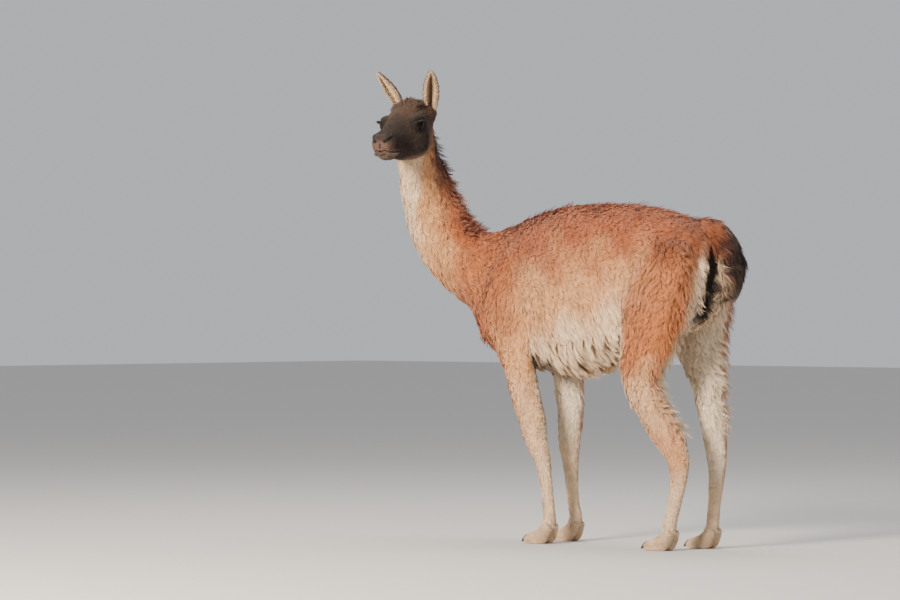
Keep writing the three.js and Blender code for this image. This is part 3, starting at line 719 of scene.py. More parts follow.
def tail_marks(points, t, angle, wave, fine):
    inner = 0.8 * np.sin(angle) + 0.75 * np.cos(angle)
    c = np.tile(srgb(34, 17, 12), (len(points), 1))
    c = paint(c, srgb(112, 60, 34), ramp(inner + 0.25 * fine, 0.35, 0.95))
    c = paint(c, CREAM, 0.7 * ramp(inner + 0.2 * fine, 0.85, 1.08))
    return paint(c, paint(RUFOUS, NIGHT, 0.15), ramp(-t + 0.05 * fine, -0.36, -0.12))


def head_marks(points, t, angle, wave, fine):
    h = animal_to_head(points)
    x, y, z = h.T
    c = paint(np.tile(FACE, (len(points), 1)), CHEEK, ramp(-z + 8 * wave, -18, 22) * ramp(x, 10, 70))
    c = paint(c, BROW, ramp(z + 6 * wave, 36, 66) * ramp(-x, -175, -110))
    c = paint(c, srgb(120, 92, 74), 0.8 * ramp(-z + 5 * wave - 0.12 * x, 48, 70) * ramp(-x, -200, -120))
    c = paint(c, CHEEK, 0.8 * ramp(x + 6 * wave, 120, 190) * ramp(z, -20, 0))
    c = paint(c, NAPE_BROWN, ramp(-x, -42, 6) * ramp(z + 8 * wave, -60, -10))
    c = paint(c, CREAM, ramp(-z + 3 * wave - 0.10 * x, 74, 88) * ramp(-x, -200, -165))
    patch = ramp(x + 7 * fine, 216, 262) * ramp(-z + 4 * fine, -8, 24) * ramp(z + 2 * fine, -54, -40)
    c = paint(c, MUZZLE, 0.9 * patch * (0.35 + 0.65 * ramp(-np.abs(y), -38, -26)))
    c = paint(c, srgb(128, 106, 88), 0.7 * ramp(x + 4 * fine, 205, 240) * ramp(-z + 2 * fine, 44, 52))
    mirrored = left_half(h)
    # Painted shade: the mouth line, the cleft of the upper lip and the nostrils are painted near black, as
    # shade in these creases and openings.
    for drawn, width in (
        (cord(h, mouth, 2.0), 2.5), (cord(h, cleft, 1.5), 2.5), (cord(mirrored, nostril, 5.5), 3.5)
    ):
        c = paint(c, NIGHT, ramp(-drawn, -width, 0))
    eye = np.linalg.norm((mirrored - EYE) * (0.8, 1, 1), axis=1)
    c = paint(c, NIGHT, 0.95 * ramp(-eye + 2 * fine, -36, -25))
    streak = ramp(-np.abs(z + 0.5 * (x - 110) + 8), -7, -2) * ramp(-np.abs(x - 130), -30, -12)
    return paint(c, BROW, 0.6 * streak)


PLAIN_MARKS = {TRUNK: trunk_marks, NECK: neck_marks, TAIL: tail_marks, HEAD: head_marks}


def markings(points):
    """Colour of the coat at points of the hide, blended where forms meet."""
    wave, fine = waves(points, 55), waves(points, 17, 3)
    total, weight = np.zeros((len(points), 3)), np.zeros((len(points), 1))
    placed = []
    for k, form in enumerate(FORMS[:TOES]):
        p = animal_to_head(points) if k == HEAD else points
        t, angle, out_by = form.locate(p)
        placed.append((t, angle, out_by - (7 if k == HEAD else 0)))
    nearest = np.min([p[2] for p in placed], axis=0)
    for k, (t, angle, out_by) in enumerate(placed):
        w = np.exp(-(out_by - nearest) / (4 if k in (HEAD, TAIL) else 15))
        on = w > 0.02
        args = points[on], t[on], angle[on], wave[on], fine[on]
        if k in FORE or k in HIND:
            marks = (fore_marks if k in FORE else hind_marks)(*args, 1 if k in (2, 4) else -1)
        else:
            marks = PLAIN_MARKS[k](*args)
        total[on] += marks * w[on, None]
        weight[on] += w[on, None]
    colour = total / weight
    # Painted shade: a dark patch in each armpit, where foreleg meets chest.
    armpit_shade = np.linalg.norm((points - (322, 62, 612)) * (0.8, 1, 0.9), axis=1)
    armpit_shade = np.minimum(armpit_shade, np.linalg.norm((points - (322, -62, 612)) * (0.8, 1, 0.9), axis=1))
    colour = paint(colour, srgb(66, 44, 34), 0.85 * ramp(-armpit_shade + 6 * fine, -52, -34))
    foot = ramp(-points[:, 2], -70, -50)
    colour = paint(colour, FOOT, foot)
    return np.clip(colour * (1 + 0.10 * fine[:, None] + 0.06 * wave[:, None]), 0, 1)


def set_colours(mesh, rgb):
    layer = mesh.color_attributes.new("coat_colour", "FLOAT_COLOR", "POINT")
    flat = np.ones((len(rgb), 4), np.float32)
    flat[:, :3] = rgb
    layer.data.foreach_set("color", flat.ravel())


def link_chain(tree, *pairs):
    for source, target in pairs:
        tree.links.new(source, target)


def noise_material(name, roughness, scale):
    """A material with noise laid through the object's own space, and no links on."""
    made = bpy.data.materials.new(name)
    made.use_nodes = True
    tree = made.node_tree
    shader = tree.nodes["Principled BSDF"]
    shader.inputs["Roughness"].default_value = roughness
    place = tree.nodes.new("ShaderNodeTexCoord")
    noise = tree.nodes.new("ShaderNodeTexNoise")
    noise.inputs["Scale"].default_value = scale
    tree.links.new(place.outputs["Object"], noise.inputs["Vector"])
    return made, tree, shader, noise


def hide_material(name, darker, grain, bump, roughness, sheen):
    """Hair or hide: the marking's own colour, made uneven by fine noise."""
    made, tree, shader, noise = noise_material(name, roughness, grain)
    shader.inputs["Sheen Weight"].default_value = sheen
    shader.inputs["Specular IOR Level"].default_value = 0.25
    colour = tree.nodes.new("ShaderNodeAttribute")
    colour.attribute_name = "coat_colour"
    noise.inputs["Detail"].default_value = 4
    span = tree.nodes.new("ShaderNodeMapRange")
    span.inputs["From Min"].default_value, span.inputs["From Max"].default_value = 0.3, 0.7
    span.inputs["To Min"].default_value, span.inputs["To Max"].default_value = 0.78 * darker, 1.12 * darker
    tint = tree.nodes.new("ShaderNodeVectorMath")
    tint.operation = "SCALE"
    relief = tree.nodes.new("ShaderNodeBump")
    relief.inputs["Distance"].default_value = bump
    link_chain(
        tree,
        (noise.outputs["Fac"], span.inputs["Value"]),
        (colour.outputs["Color"], tint.inputs[0]),
        (span.outputs["Result"], tint.inputs["Scale"]),
        (tint.outputs["Vector"], shader.inputs["Base Color"]),
        (noise.outputs["Fac"], relief.inputs["Height"]),
        (relief.outputs["Normal"], shader.inputs["Normal"]),
    )
    return made


points = from_place(points_of(skin.data))
skin_kind = nearest_form(points)
skin_t, skin_angle = own_place(skin_kind, points)
skin_colour = markings(points)
set_colours(skin.data, skin_colour)

# Every face lies whole in its own form's patch of the unwrap
mesh = skin.data
face_size = np.empty(len(mesh.polygons), int)
mesh.polygons.foreach_get("loop_total", face_size)
face_start = np.empty(len(mesh.polygons), int)
mesh.polygons.foreach_get("loop_start", face_start)
corner = np.empty(len(mesh.loops), int)
mesh.loops.foreach_get("vertex_index", corner)
lead = np.repeat(corner[face_start], face_size)
corner_kind = skin_kind[lead]
t, angle = own_place(corner_kind, points[corner])
lead_angle = skin_angle[lead]
angle = lead_angle + (angle - lead_angle + np.pi) % (2 * np.pi) - np.pi
unwrap = mesh.uv_layers.new(name="OFBake")
flat = np.clip(on_unwrap(corner_kind, t, angle), 0.001, 0.999)
unwrap.data.foreach_set("uv", flat.astype(np.float32).ravel())

skin.data.materials.append(hide_material("hide", 0.9, 160, 0.0015, 0.8, 0.1))
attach(skin, "root")
flesh_nodes = [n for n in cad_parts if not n.endswith(("_eye", "_nail", "_ear"))]
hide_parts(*flesh_nodes)


# The nails: one dark horny claw on each of the eight toes, curved down and set
# in the toe's tip. They grow in layers, which leaves a fine uneven grain.
NAIL = [(0.72, 27, 3, 3, 5), (0.98, 22, 8, 7, 8), (1.2, 12, 6, 5, 6), (1.32, 6, 2, 2, 2.5)]
horn, tree, shader, rings = noise_material("horn", 0.45, 420)
mix = tree.nodes.new("ShaderNodeMix")
mix.data_type = "RGBA"
mix.inputs["A"].default_value = (0.022, 0.018, 0.015, 1)
mix.inputs["B"].default_value = (0.085, 0.065, 0.05, 1)
relief = tree.nodes.new("ShaderNodeBump")
relief.inputs["Distance"].default_value = 0.0006
link_chain(
    tree,
    (rings.outputs["Fac"], mix.inputs["Factor"]),
    (mix.outputs["Result"], shader.inputs["Base Color"]),
    (rings.outputs["Fac"], relief.inputs["Height"]),
    (relief.outputs["Normal"], shader.inputs["Normal"]),
)
for leg, fetlock in FETLOCKS.items():
    where = leg.replace("fore", "front")
    side = 1 if leg.endswith("left") else -1
    for mirror in (1, -1):
        claw_verts, claw_faces = loft(toe_form(fetlock, mirror, NAIL), 22, 18)
        claw_verts[:, 2] = np.maximum(claw_verts[:, 2], 0.6)
        node = f"{where}_{'outer' if mirror == side else 'inner'}_nail"
        claw = mesh_object("claw_" + node.replace("_nail", ""), in_place(claw_verts), claw_faces)
        face_outward(claw)
        bpy.ops.object.shade_smooth()
        claw.data.materials.append(horn)
        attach(claw, "root")
        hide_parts(node)


# The eyes: dark wet balls seated in the sockets behind the lids, nearly black,
# with a lying pupil in a brown iris.
wet, tree, shader, streak = noise_material("eye", 0.3, 300)
shader.inputs["Coat Weight"].default_value = 0.05
shader.inputs["Coat Roughness"].default_value = 0.03
shader.inputs["Specular IOR Level"].default_value = 0.06
colour = tree.nodes.new("ShaderNodeAttribute")
colour.attribute_name = "coat_colour"
tint = tree.nodes.new("ShaderNodeVectorMath")
tint.operation = "SCALE"
link_chain(
    tree,
    (colour.outputs["Color"], tint.inputs[0]),
    (streak.outputs["Fac"], tint.inputs["Scale"]),
    (tint.outputs["Vector"], shader.inputs["Base Color"]),
)
for mirror, node in ((1, "left_eye"), (-1, "right_eye")):
    at = Vector(in_place(head_to_animal(EYE * (1, mirror, 1))))
    bpy.ops.object.select_all(action="DESELECT")
    bpy.ops.mesh.primitive_uv_sphere_add(segments=64, ring_count=48, radius=EYE_RADIUS / 1000, location=at)
    eye = bpy.context.object
    bpy.ops.object.transform_apply(location=True, rotation=True, scale=True)
    eye.name = "eyeball_" + node.replace("_eye", "")
    rel = animal_to_head(from_place(points_of(eye.data))) * (1, mirror, 1) - EYE
    across, ahead, tall = rel @ LID_WAY, rel @ GAZE, rel[:, 2]
    iris = ramp(-np.hypot(across, tall), -12.5, -11.5) * (ahead > 0)[:, None]
    pupil = ramp(-np.hypot(across / 1.9, tall), -4.6, -3.9) * (ahead > 0)[:, None]
    rgb = paint(np.tile(srgb(30, 22, 18), (len(rel), 1)), srgb(48, 30, 20), iris)
    set_colours(eye.data, paint(rgb, srgb(6, 6, 8), pupil))
    bpy.ops.object.shade_smooth()
    eye.data.materials.append(wet)
    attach(eye, "root")
    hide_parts(node)


# The ears: thin upright leaves of gristle under short hair, rolled into a cup
# that opens forward, brown behind and pale at the edge, set on the crown.
EAR_SHARES = [0.12, 0.15, 0.176, 0.182, 0.168, 0.135, 0.085, 0.018]
EAR_HIGH, EAR_ROOT = 150, np.array([2.0, 57.0, 72.0])
ear_skin = hide_material("ear_hair", 1.0, 220, 0.001, 0.8, 0.15)
ears = {}
for mirror, node in ((1, "left_ear"), (-1, "right_ear")):
    rise = unit(np.array([0.5, 0.34 * mirror, 1.0]))
    facing = np.array([math.cos(math.radians(25)), mirror * math.sin(math.radians(25)), 0.0])
    facing = unit(facing - rise * (facing @ rise))
    across = np.cross(rise, facing)
    rows, turns = 40, 22
    reach = spline(np.array(EAR_SHARES)[:, None], np.linspace(0, 1, rows))[:, 0] * EAR_HIGH
    sheets = []
    for thick in (0.0, 2.6):
        sheet = np.empty((rows, turns, 3))
        for i, r in enumerate(np.linspace(0, 1, rows)):
            w = max(reach[i] - thick, 0.4)
            psi = np.radians(np.linspace(-112, 112, turns))
            mid = EAR_ROOT * (1, mirror, 1) + rise * ((r * 1.08 - 0.08) * EAR_HIGH)
            mid = mid - facing * (math.sin(math.pi * r) * 5)
            curl = 1 - 0.16 * np.abs(np.sin(psi)) * (np.cos(psi) < 0)
            sheet[i] = mid + np.outer(np.sin(psi) * w * curl, across)
            sheet[i] -= np.outer(np.cos(psi) * w * 0.62, facing)
        sheets.append(sheet)
    sheets[1][-1] = sheets[0][-1] - rise * 1.0
    grid = np.concatenate([sheets[0].reshape(-1, 3), sheets[1].reshape(-1, 3)])
    count = rows * turns
    faces = []
    for i in range(rows - 1):
        for j in range(turns - 1):
            a = i * turns + j
            faces.append((a, a + 1, a + turns + 1, a + turns))
            a += count
            faces.append((a, a + turns, a + turns + 1, a + 1))
        for j in (0, turns - 1):
            a = i * turns + j
            quad = (a, a + turns, a + turns + count, a + count)
            faces.append(quad if j == 0 else quad[::-1])
    for i in (0, rows - 1):
        for j in range(turns - 1):
            a = i * turns + j
            quad = (a, a + count, a + 1 + count, a + 1)
            faces.append(quad if i == 0 else quad[:1] + quad[:0:-1])
    ear = mesh_object("ear_shell_" + node.replace("_ear", ""), in_place(head_to_animal(grid)), faces)
    share_up = np.tile(np.repeat(np.linspace(0, 1, rows), turns), 2)
    share_side = np.tile(np.abs(np.linspace(-1, 1, turns)), 2 * rows)
    inside = np.repeat([0.0, 1.0], count)
    back = paint(np.tile(EAR_BROWN, (2 * count, 1)), CREAM, ramp(share_side, 0.72, 1.0))
    # Painted shade: the deep middle of each cup is painted dark brown, fading to the pale hair toward its
    # edges.
    cup = np.tile(srgb(78, 60, 50), (2 * count, 1))
    cup = paint(cup, srgb(176, 148, 122), ramp(share_side, 0.06, 0.26))
    cup = paint(cup, CREAM, ramp(share_side, 0.22, 0.46))
    outward = np.tile(np.linspace(-mirror, mirror, turns), 2 * rows)
    cup = paint(cup, CREAM, 0.8 * ramp(outward, 0.04, 0.2))
    cup = paint(cup, srgb(170, 140, 112), 0.8 * ramp(share_up, 0.75, 0.95))
    set_colours(ear.data, paint(back, cup, inside[:, None]))
    layer = ear.data.uv_layers.new(name="OFBake")
    share_round = np.tile(np.linspace(0, 1, turns), 2 * rows)
    flat = np.stack([share_up * 0.96 + 0.02, share_round * 0.46 + 0.02 + 0.5 * inside], 1)
    corner = np.empty(len(ear.data.loops), int)
    ear.data.loops.foreach_get("vertex_index", corner)
    layer.data.foreach_set("uv", flat[corner].astype(np.float32).ravel())
    face_outward(ear)
    bpy.ops.object.shade_smooth()
    ear.data.materials.append(ear_skin)
    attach(ear, "root")
    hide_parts(node)
    ears[mirror] = dict(sheets=sheets, rise=rise, facing=facing, across=across)


# The coat: tapered tufts of wool and hair over the whole hide, in loose
# clumps that lie back and down, long on the body and short on face and legs.
rng = np.random.default_rng(41)
mesh = skin.data
mesh.calc_loop_triangles()
tri = np.empty(len(mesh.loop_triangles) * 3, int)
mesh.loop_triangles.foreach_get("vertices", tri)
tri = tri.reshape(-1, 3)
skin_points, skin_normals = from_place(points_of(mesh)), normals_of(mesh)
a, b, c = (skin_points[tri[:, k]] for k in range(3))
tri_area = np.linalg.norm(np.cross(b - a, c - a), axis=1) / 2
tri_kind = skin_kind[tri[:, 0]]
tri_middle = (a + b + c) / 3

skin_tree = kdtree.KDTree(len(skin_points))
for i, p in enumerate(skin_points):
    skin_tree.insert(p, i)
skin_tree.balance()


def scatter(pick, spacing):
    """Roots laid evenly by area over the picked triangles, spacing in mm."""
    index = np.flatnonzero(pick)
    per = tri_area[index] / (spacing[index] if np.ndim(spacing) else spacing) ** 2
    count = np.floor(per + rng.random(len(index))).astype(int)
    which = np.repeat(index, count)
    u, v = rng.random((2, len(which)))
    over = u + v > 1
    u[over], v[over] = 1 - u[over], 1 - v[over]
    w = np.stack([1 - u - v, u, v], 1)[:, :, None]
    roots = (skin_points[tri[which]] * w).sum(1)
    normals = unit((skin_normals[tri[which]] * w).sum(1))
    kind = tri_kind[which]
    t, angle = own_place(kind, roots)
    colour = (skin_colour[tri[which]] * w).sum(1)
    return roots, normals, kind, t, angle, colour


HASH = np.array([[127.1, 269.5, 113.5], [311.7, 183.3, 271.9], [74.7, 246.1, 124.6]])


def clumps(points, size, seed):
    """Nearest of a scatter of clump middles, and numbers that belong to it."""
    cell = np.floor(points / size)
    best = np.full(len(points), 1e9)
    middle, key = np.zeros_like(points), np.zeros((len(points), 3))
    for dx in (-1, 0, 1):
        for dy in (-1, 0, 1):
            for dz in (-1, 0, 1):
                c = cell + (dx, dy, dz)
                h = (np.sin(c @ HASH + seed) * 43758.5453) % 1.0
                spot = (c + 0.15 + 0.7 * h) * size
                d = ((points - spot) ** 2).sum(1)
                near = d < best
                best[near] = d[near]
                middle[near], key[near] = spot[near], h[near]
    key = (key * 7919.13 + 0.37) % 1.0
    return middle, key


def lie(roots, normals, kind, t, angle):
    """The way the hair points, along the hide, at each root."""
    way = np.tile([-0.86, 0.0, -0.5], (len(roots), 1))
    up = np.sin(angle)
    drop = np.clip((-up + 0.2) / 0.8, 0, 1)[:, None]
    way = way * (1 - drop) + np.array([-0.5, 0, -1.0]) * drop
    for k, form in enumerate(FORMS):
        on = kind == k
        if not on.any() or k == TRUNK:
            continue
        ahead = form.way(t[on])[0]
        if k == NECK:
            ahead = -ahead - 0.15 * form.way(t[on])[2]
        if k == HEAD:
            ahead = head_to_animal(-ahead) - NAPE
        if k in HIND + FORE:
            ahead = ahead + np.array([-0.25, 0, -0.1])
        way[on] = ahead
    way = way - normals * (way * normals).sum(1, keepdims=True)
    return unit(way)


# Painted shade: tufts are darker at their roots and lighter toward their tips, to give the coat depth.
ROOT_SHADE, ROOT_DEPTH = 0.8, 2.5


def tufts(name, where, long, wide, lift, clump, pull, segments=2, curl=0.0, seed=1.0):
    """One piece of coat: flat tapered tufts, each five to seven points."""
    roots, normals, kind, t, angle, rgb = where
    n = len(roots)
    middle, key = clumps(roots, clump, seed)
    middle_off = middle - roots
    middle_off -= normals * (middle_off * normals).sum(1, keepdims=True)
    way = lie(roots, normals, kind, t, angle)
    across = np.cross(normals, way)
    broad = clumps(roots, clump * 2.7, seed + 9)[1]
    swing = (key[:, 0] - 0.5) * 0.5 + (broad[:, 0] - 0.5) * 0.6 + (rng.random(n) - 0.5) * 0.4
    way = unit(way * np.cos(swing)[:, None] + across * np.sin(swing)[:, None])
    across = np.cross(normals, way)
    length = long * (0.75 + 0.45 * key[:, 1]) * (0.8 + 0.4 * rng.random(n))
    rise_angle = np.radians(lift * (0.5 + 1.0 * key[:, 2]) + (rng.random(n) - 0.5) * 8)
    reach = length * np.cos(rise_angle)
    stand = length * np.sin(rise_angle)
    steps = np.linspace(0, 1, segments + 1)
    spine = []
    phase = key[:, 1] * 6.28
    for s in steps:
        p = roots + way * (reach * s)[:, None] + middle_off * (pull * s**1.3)
        if curl:
            p = p + across * (np.sin(s * 5.0 + phase) * curl * length * s)[:, None]
        if s > 0:
            q, qn = np.empty_like(p), np.empty_like(p)
            for i, at in enumerate(p):
                k = skin_tree.find(at)[1]
                q[i], qn[i] = skin_points[k], skin_normals[k]
            high = ((p - q) * qn).sum(1)
            want = stand * (s if s < 1 else 0.96) ** 0.8 + 1.0
            p = p + qn * (want - high)[:, None]
        else:
            p = p - normals * ROOT_DEPTH
        spine.append(p)
    roll = (rng.random(n) - 0.5) * 1.2
    flat = unit(across * np.cos(roll)[:, None] + normals * np.sin(roll)[:, None])
    width = wide * (0.75 + 0.5 * rng.random(n))
    rows, shares = [], []
    for k, s in enumerate(steps[:-1]):
        half = (width * (1 - 0.55 * s * s) / 2)[:, None]
        rows += [spine[k] - flat * half, spine[k] + flat * half]
        shares += [s, s]
    rows.append(spine[-1])
    shares.append(1.0)
    per = len(rows)
    verts = np.stack(rows, 1).reshape(-1, 3)
    verts[:, 2] = np.maximum(verts[:, 2], 0.5)
    base = (np.arange(n) * per)[:, None]
    tris = []
    for k in range(segments - 1):
        tris += [[2 * k, 2 * k + 1, 2 * k + 3], [2 * k, 2 * k + 3, 2 * k + 2]]
    tris.append([2 * segments - 2, 2 * segments - 1, 2 * segments])
    index = (base[:, None, :] + np.array(tris)[None]).reshape(-1)
    mesh = bpy.data.meshes.new(name)
    mesh.vertices.add(len(verts))
    mesh.vertices.foreach_set("co", in_place(verts).astype(np.float32).ravel())
    mesh.loops.add(len(index))
    mesh.loops.foreach_set("vertex_index", index.astype(np.int32))
    mesh.polygons.add(len(index) // 3)
    mesh.polygons.foreach_set("loop_start", np.arange(0, len(index), 3, dtype=np.int32))
    mesh.polygons.foreach_set("use_smooth", np.ones(len(index) // 3, bool))
    mesh.update(calc_edges=True)
    vary = 0.88 + 0.12 * key[:, 2] + 0.10 * broad[:, 1] + 0.16 * (rng.random(n) - 0.5)
    # painted shade, darkest at each tuft's root
    shade = ROOT_SHADE + (1.04 - ROOT_SHADE) * np.array(shares)
    rgb = rgb[:, None, :] * vary[:, None, None] * shade[None, :, None]
    set_colours(mesh, np.clip(rgb, 0, 1).reshape(-1, 3))
    centre = on_unwrap(kind, t, angle)
    spread = np.stack([(np.array(shares) - 0.5) * 0.003, (np.arange(per) % 2 - 0.5) * 0.003], 1)
    uv = np.clip(centre[:, None, :] + spread[None], 0.001, 0.999).reshape(-1, 2)
    layer = mesh.uv_layers.new(name="OFBake")
    layer.data.foreach_set("uv", uv[index].astype(np.float32).ravel())
    piece = bpy.data.objects.new(name, mesh)
    bpy.context.scene.collection.objects.link(piece)
    mesh.materials.append(wool)
    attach(piece, "root")


wool = hide_material("wool", 1.0, 700, 0.0006, 0.82, 0.25)
side_of = tri_middle[:, 1]
low_belly = (tri_kind == TRUNK) & (np.sin(skin_angle[tri[:, 0]]) < -0.62)


def body_long(where):
    roots, angle = where[0], where[4]
    up = np.sin(angle)
    long = 30 + 10 * np.clip(-up, 0, 1) + 5 * waves(roots, 70, 5)
    return long * (1 + 0.5 * np.clip((roots[:, 0] - 520) / 120, 0, 1))


# The two sides of the trunk: crimped wool three to four centimetres long, rufous
# above and fading to cream, lying back and down from the shoulder.
for name, pick, slot in (
    ("coat_left_side", (tri_kind == TRUNK) & (side_of >= 0) & ~low_belly, "rufous_coat"),
    ("coat_right_side", (tri_kind == TRUNK) & (side_of < 0) & ~low_belly, "rufous_coat"),
):
    where = scatter(pick, 3.2)
    tufts(name, where, body_long(where), 2.9, 11, 13, 0.42, segments=3, curl=0.07)

# The ridge: sparse longer hairs that stand out of the wool along the back
# and break its upper line.
ridge = (tri_kind == TRUNK) & (np.sin(skin_angle[tri[:, 0]]) > 0.8)
where = scatter(ridge, 10.0)
tufts("coat_ridge", where, 40.0, 1.7, 22, 42, 0.55, segments=3, curl=0.08, seed=5.0)

# The belly: cream locks that hang in a ragged fringe, longest behind the elbow.
where = scatter(low_belly, 3.8)
hang = 34 + 34 * np.exp(-((where[0][:, 0] - 190) / 150.0) ** 2)
tufts("coat_belly", where, hang, 3.0, 34, 22, 0.7, segments=3, curl=0.08)

# The neck and its nape: shorter curled wool all round, and along the crest a
# dark brush of upright hair that gives the neck its rough rear edge.
where = scatter(tri_kind == NECK, 2.9)
tufts("coat_neck", where, 25 + 9 * (1 - where[3]), 2.7, 13, 13, 0.5, segments=3, curl=0.13)

nape = (tri_kind == NECK) & (np.sin(skin_angle[tri[:, 0]]) > 0.74)
nape &= (skin_t[tri[:, 0]] > 0.3) & (skin_t[tri[:, 0]] < 0.93)
where = scatter(nape, 3.1)
tufts("coat_nape", where, 35.0, 1.7, 50, 14, 0.55, segments=3, curl=0.04, seed=3.0)

# The tail: long dense hair around a thin tail, dark brown outside and paler on
# the side that lies against the rump.
where = scatter(tri_kind == TAIL, 2.3)
tufts("coat_tail", where, 52.0, 2.7, 17, 16, 0.4, segments=3, curl=0.06)

# The thighs: short crimped wool in tight clumps, and behind them a thin fringe
# that stands off the rear edge.
thighs = np.isin(tri_kind, HIND) & (tri_middle[:, 2] > 470)
where = scatter(thighs, 3.2)
tufts("coat_thighs", where, 25.0, 3.2, 15, 17, 0.68, segments=3, curl=0.22)

rear = np.isin(tri_kind, HIND) & (np.sin(skin_angle[tri[:, 0]]) < -0.72)
rear &= tri_middle[:, 2] > 380
where = scatter(rear, 4.2)
tufts("coat_rear_fringe", where, 40.0, 1.9, 38, 14, 0.6, segments=3, curl=0.05, seed=7.0)

# The shoulders and upper forelegs: close smooth wool that thins toward the knee.
shoulders = np.isin(tri_kind, FORE) & (tri_middle[:, 2] > 470)
where = scatter(shoulders, 3.2)
tufts("coat_shoulders", where, 24.0, 2.9, 11, 14, 0.5, segments=3, curl=0.10)

# The shanks and toes: short straight hair, close to the bone, down to the nails.
shanks = np.isin(tri_kind, FORE + HIND) & (tri_middle[:, 2] <= 470)
where = scatter(shanks, 2.35)
shin = 9 + 8 * np.clip((where[0][:, 2] - 200) / 250, 0, 1)
tufts("coat_shanks", where, shin, 2.3, 10, 10, 0.4)

where = scatter((tri_kind >= TOES) & (tri_middle[:, 2] > 12), 2.2)
tufts("coat_toes", where, 7.0, 1.9, 10, 8, 0.35)

# The face and crown: very short dark hair that lies back from the nose, with
# none on lids, lips and nostrils, and a low upright tuft between the ears.
head_middle = animal_to_head(tri_middle)
mirrored = left_half(head_middle)
bare = np.linalg.norm(mirrored - EYE, axis=1) < 25
bare |= np.minimum(cord(head_middle, mouth, 7), cord(head_middle, cleft, 6)) < 0
bare |= (head_middle[:, 0] > 262) & (np.abs(head_middle[:, 1]) < 20) & (head_middle[:, 2] > -18)
bare |= cord(mirrored, nostril, 8) < 0
where = scatter((tri_kind == HEAD) & ~bare, 1.9)
h = animal_to_head(where[0])
jaw = np.clip((-h[:, 2] - 30) / 40, 0, 1) * (h[:, 0] < 150)
long = 6 + 12 * np.clip((60 - h[:, 0]) / 60, 0, 1) + 6 * jaw
long *= np.clip(1.25 - h[:, 0] / 400, 0.5, 1)
tufts("coat_face", where, long, 1.7, 12, 9, 0.4)

crown = (tri_kind == HEAD) & (head_middle[:, 2] > 50)
crown &= (head_middle[:, 0] < 95) & (head_middle[:, 0] > -8)
crown &= np.abs(head_middle[:, 1]) < 44
where = scatter(crown, 2.4)
tufts("coat_crown", where, 19.0, 1.8, 38, 12, 0.6, seed=11.0)


# The hair of the ears and the lashes: pale hairs that cross the cups from their
# edges, short brown hair on the backs, and long dark lashes on the upper lids.
FRINGE_WIDTH, LASH_WIDTH = 1.5, 1.1


def hairs(name, roots, ways, long, wide, colours):
    """Loose tapered hairs, each bent a little, with three faces to its length."""
    roots, ways, long = np.array(roots), unit(np.array(ways)), np.array(long)
    n = len(roots)
    side = unit(np.cross(ways, rng.normal(size=(n, 3))))
    bend = np.cross(ways, side) * (long * 0.16)[:, None]
    mid = roots + ways * (long * 0.55)[:, None] + bend
    tip = roots + ways * long[:, None] - bend * 0.3
    half = side * wide / 2
    rows = [roots - half, roots + half, mid - half * 0.7, mid + half * 0.7, tip]
    verts = head_to_animal(np.stack(rows, 1).reshape(-1, 3))
    tris = np.array([[0, 1, 3], [0, 3, 2], [2, 3, 4]])
    index = (np.arange(n)[:, None, None] * 5 + tris).reshape(-1, 3)
    piece = mesh_object(name, in_place(verts), [tuple(f) for f in index])
    # Painted shade: each hair is darker at its root than at its tip.
    shade = np.array([0.8, 0.8, 0.95, 0.95, 1.0])
    set_colours(piece.data, (colours[:, None, :] * shade[None, :, None]).reshape(-1, 3))
    layer = piece.data.uv_layers.new(name="OFBake")
    spots = 0.02 + 0.95 * np.stack([np.arange(n) % 61 / 61, np.arange(n) // 61 / (n // 61 + 1)], 1)
    patch = np.array([[0, 0], [2, 0], [0, 1], [2, 1], [1, 2]]) * 0.0015
    uv = spots[:, None, :] + patch
    layer.data.foreach_set("uv", uv.reshape(-1, 2)[index.reshape(-1)].astype(np.float32).ravel())
    piece.data.materials.append(wool)
    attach(piece, "root")


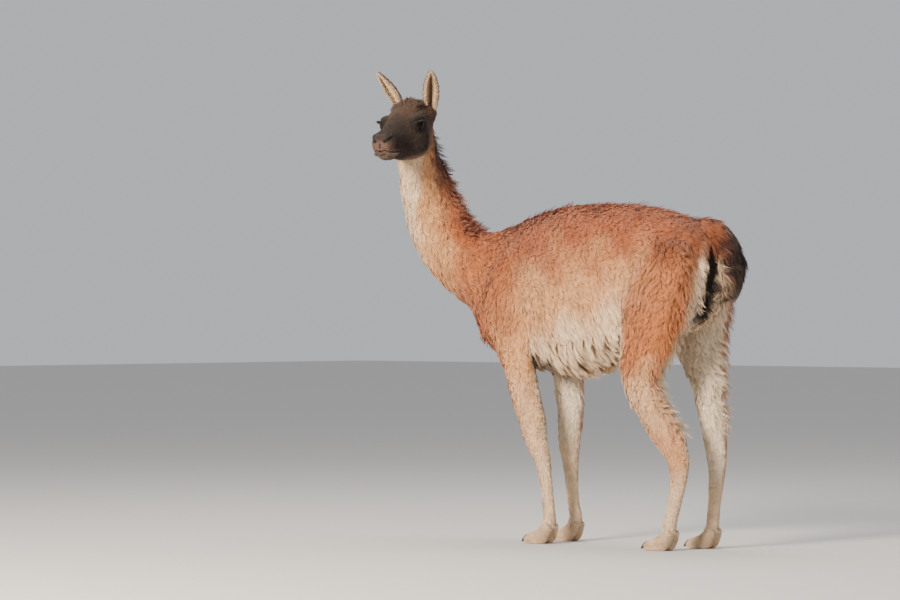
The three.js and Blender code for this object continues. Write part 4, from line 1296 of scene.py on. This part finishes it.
for mirror, side_name in ((1, "left"), (-1, "right")):
    form = ears[mirror]
    outer, inner = form["sheets"]
    roots, ways, long = [], [], []
    for _ in range(4600):
        r = rng.random() ** 0.9
        i = min(int(r * 39), 38)
        edge = rng.random()
        deep = 4.0 + 4.5 * rng.random() * (1.1 - r)
        j = int(edge * deep) if rng.random() < 0.5 else 21 - int(edge * deep)
        roots.append(inner[i, j] if rng.random() < 0.7 else outer[i, j])
        toward = form["across"] * (1 if j > 10 else -1)
        way = form["rise"] * 0.9 - toward * (0.2 + 0.7 * rng.random())
        ways.append(way + form["facing"] * 0.7 * rng.random())
        long.append((8 + 7 * rng.random()) * (1 - 0.5 * r))
    pale = paint(np.tile(CREAM, (len(roots), 1)), BROW, rng.random((len(roots), 1)) * 0.12)
    hairs(f"ear_fringe_{side_name}", roots, ways, long, FRINGE_WIDTH, pale)
    roots, ways, long, columns = [], [], [], []
    for _ in range(1900):
        i, j = int(rng.random() * 38), int(rng.random() * 22)
        columns.append(j)
        roots.append(outer[i, j] + form["rise"] * rng.random() * 3)
        round_by = np.radians((j / 21 - 0.5) * 220)
        away = -form["facing"] * np.cos(round_by) + form["across"] * np.sin(round_by)
        ways.append(form["rise"] + away * 0.28 + rng.normal(size=3) * 0.1)
        long.append(6 + 4 * rng.random())
    edge_share = np.abs(np.array(columns)[:, None] / 21 * 2 - 1)
    back_tone = paint(np.tile(EAR_BROWN, (len(roots), 1)), CREAM, np.clip(edge_share * 3 - 2, 0, 1))
    hairs(f"ear_back_{side_name}", roots, ways, long, FRINGE_WIDTH, back_tone)
    roots, ways, long = [], [], []
    for k in range(150):
        u = (k / 149 - 0.5) * 38 + rng.normal() * 0.6
        v = 12.5 * math.sqrt(max(1 - (u / 21.5) ** 2, 0.02)) + rng.normal() * 0.7
        spot = EYE + LID_WAY * u + np.array([0, 0, v]) + GAZE * (15.5 - 0.010 * u * u)
        roots.append(spot * (1, mirror, 1))
        way = GAZE + np.array([0, 0, -0.12 + 0.25 * rng.random()]) + LID_WAY * (u / 30)
        ways.append(way * (1, mirror, 1))
        long.append(13 + 7 * rng.random())
    dark = np.tile(NIGHT, (len(roots), 1))
    hairs(f"lashes_{side_name}", roots, ways, long, LASH_WIDTH, dark)
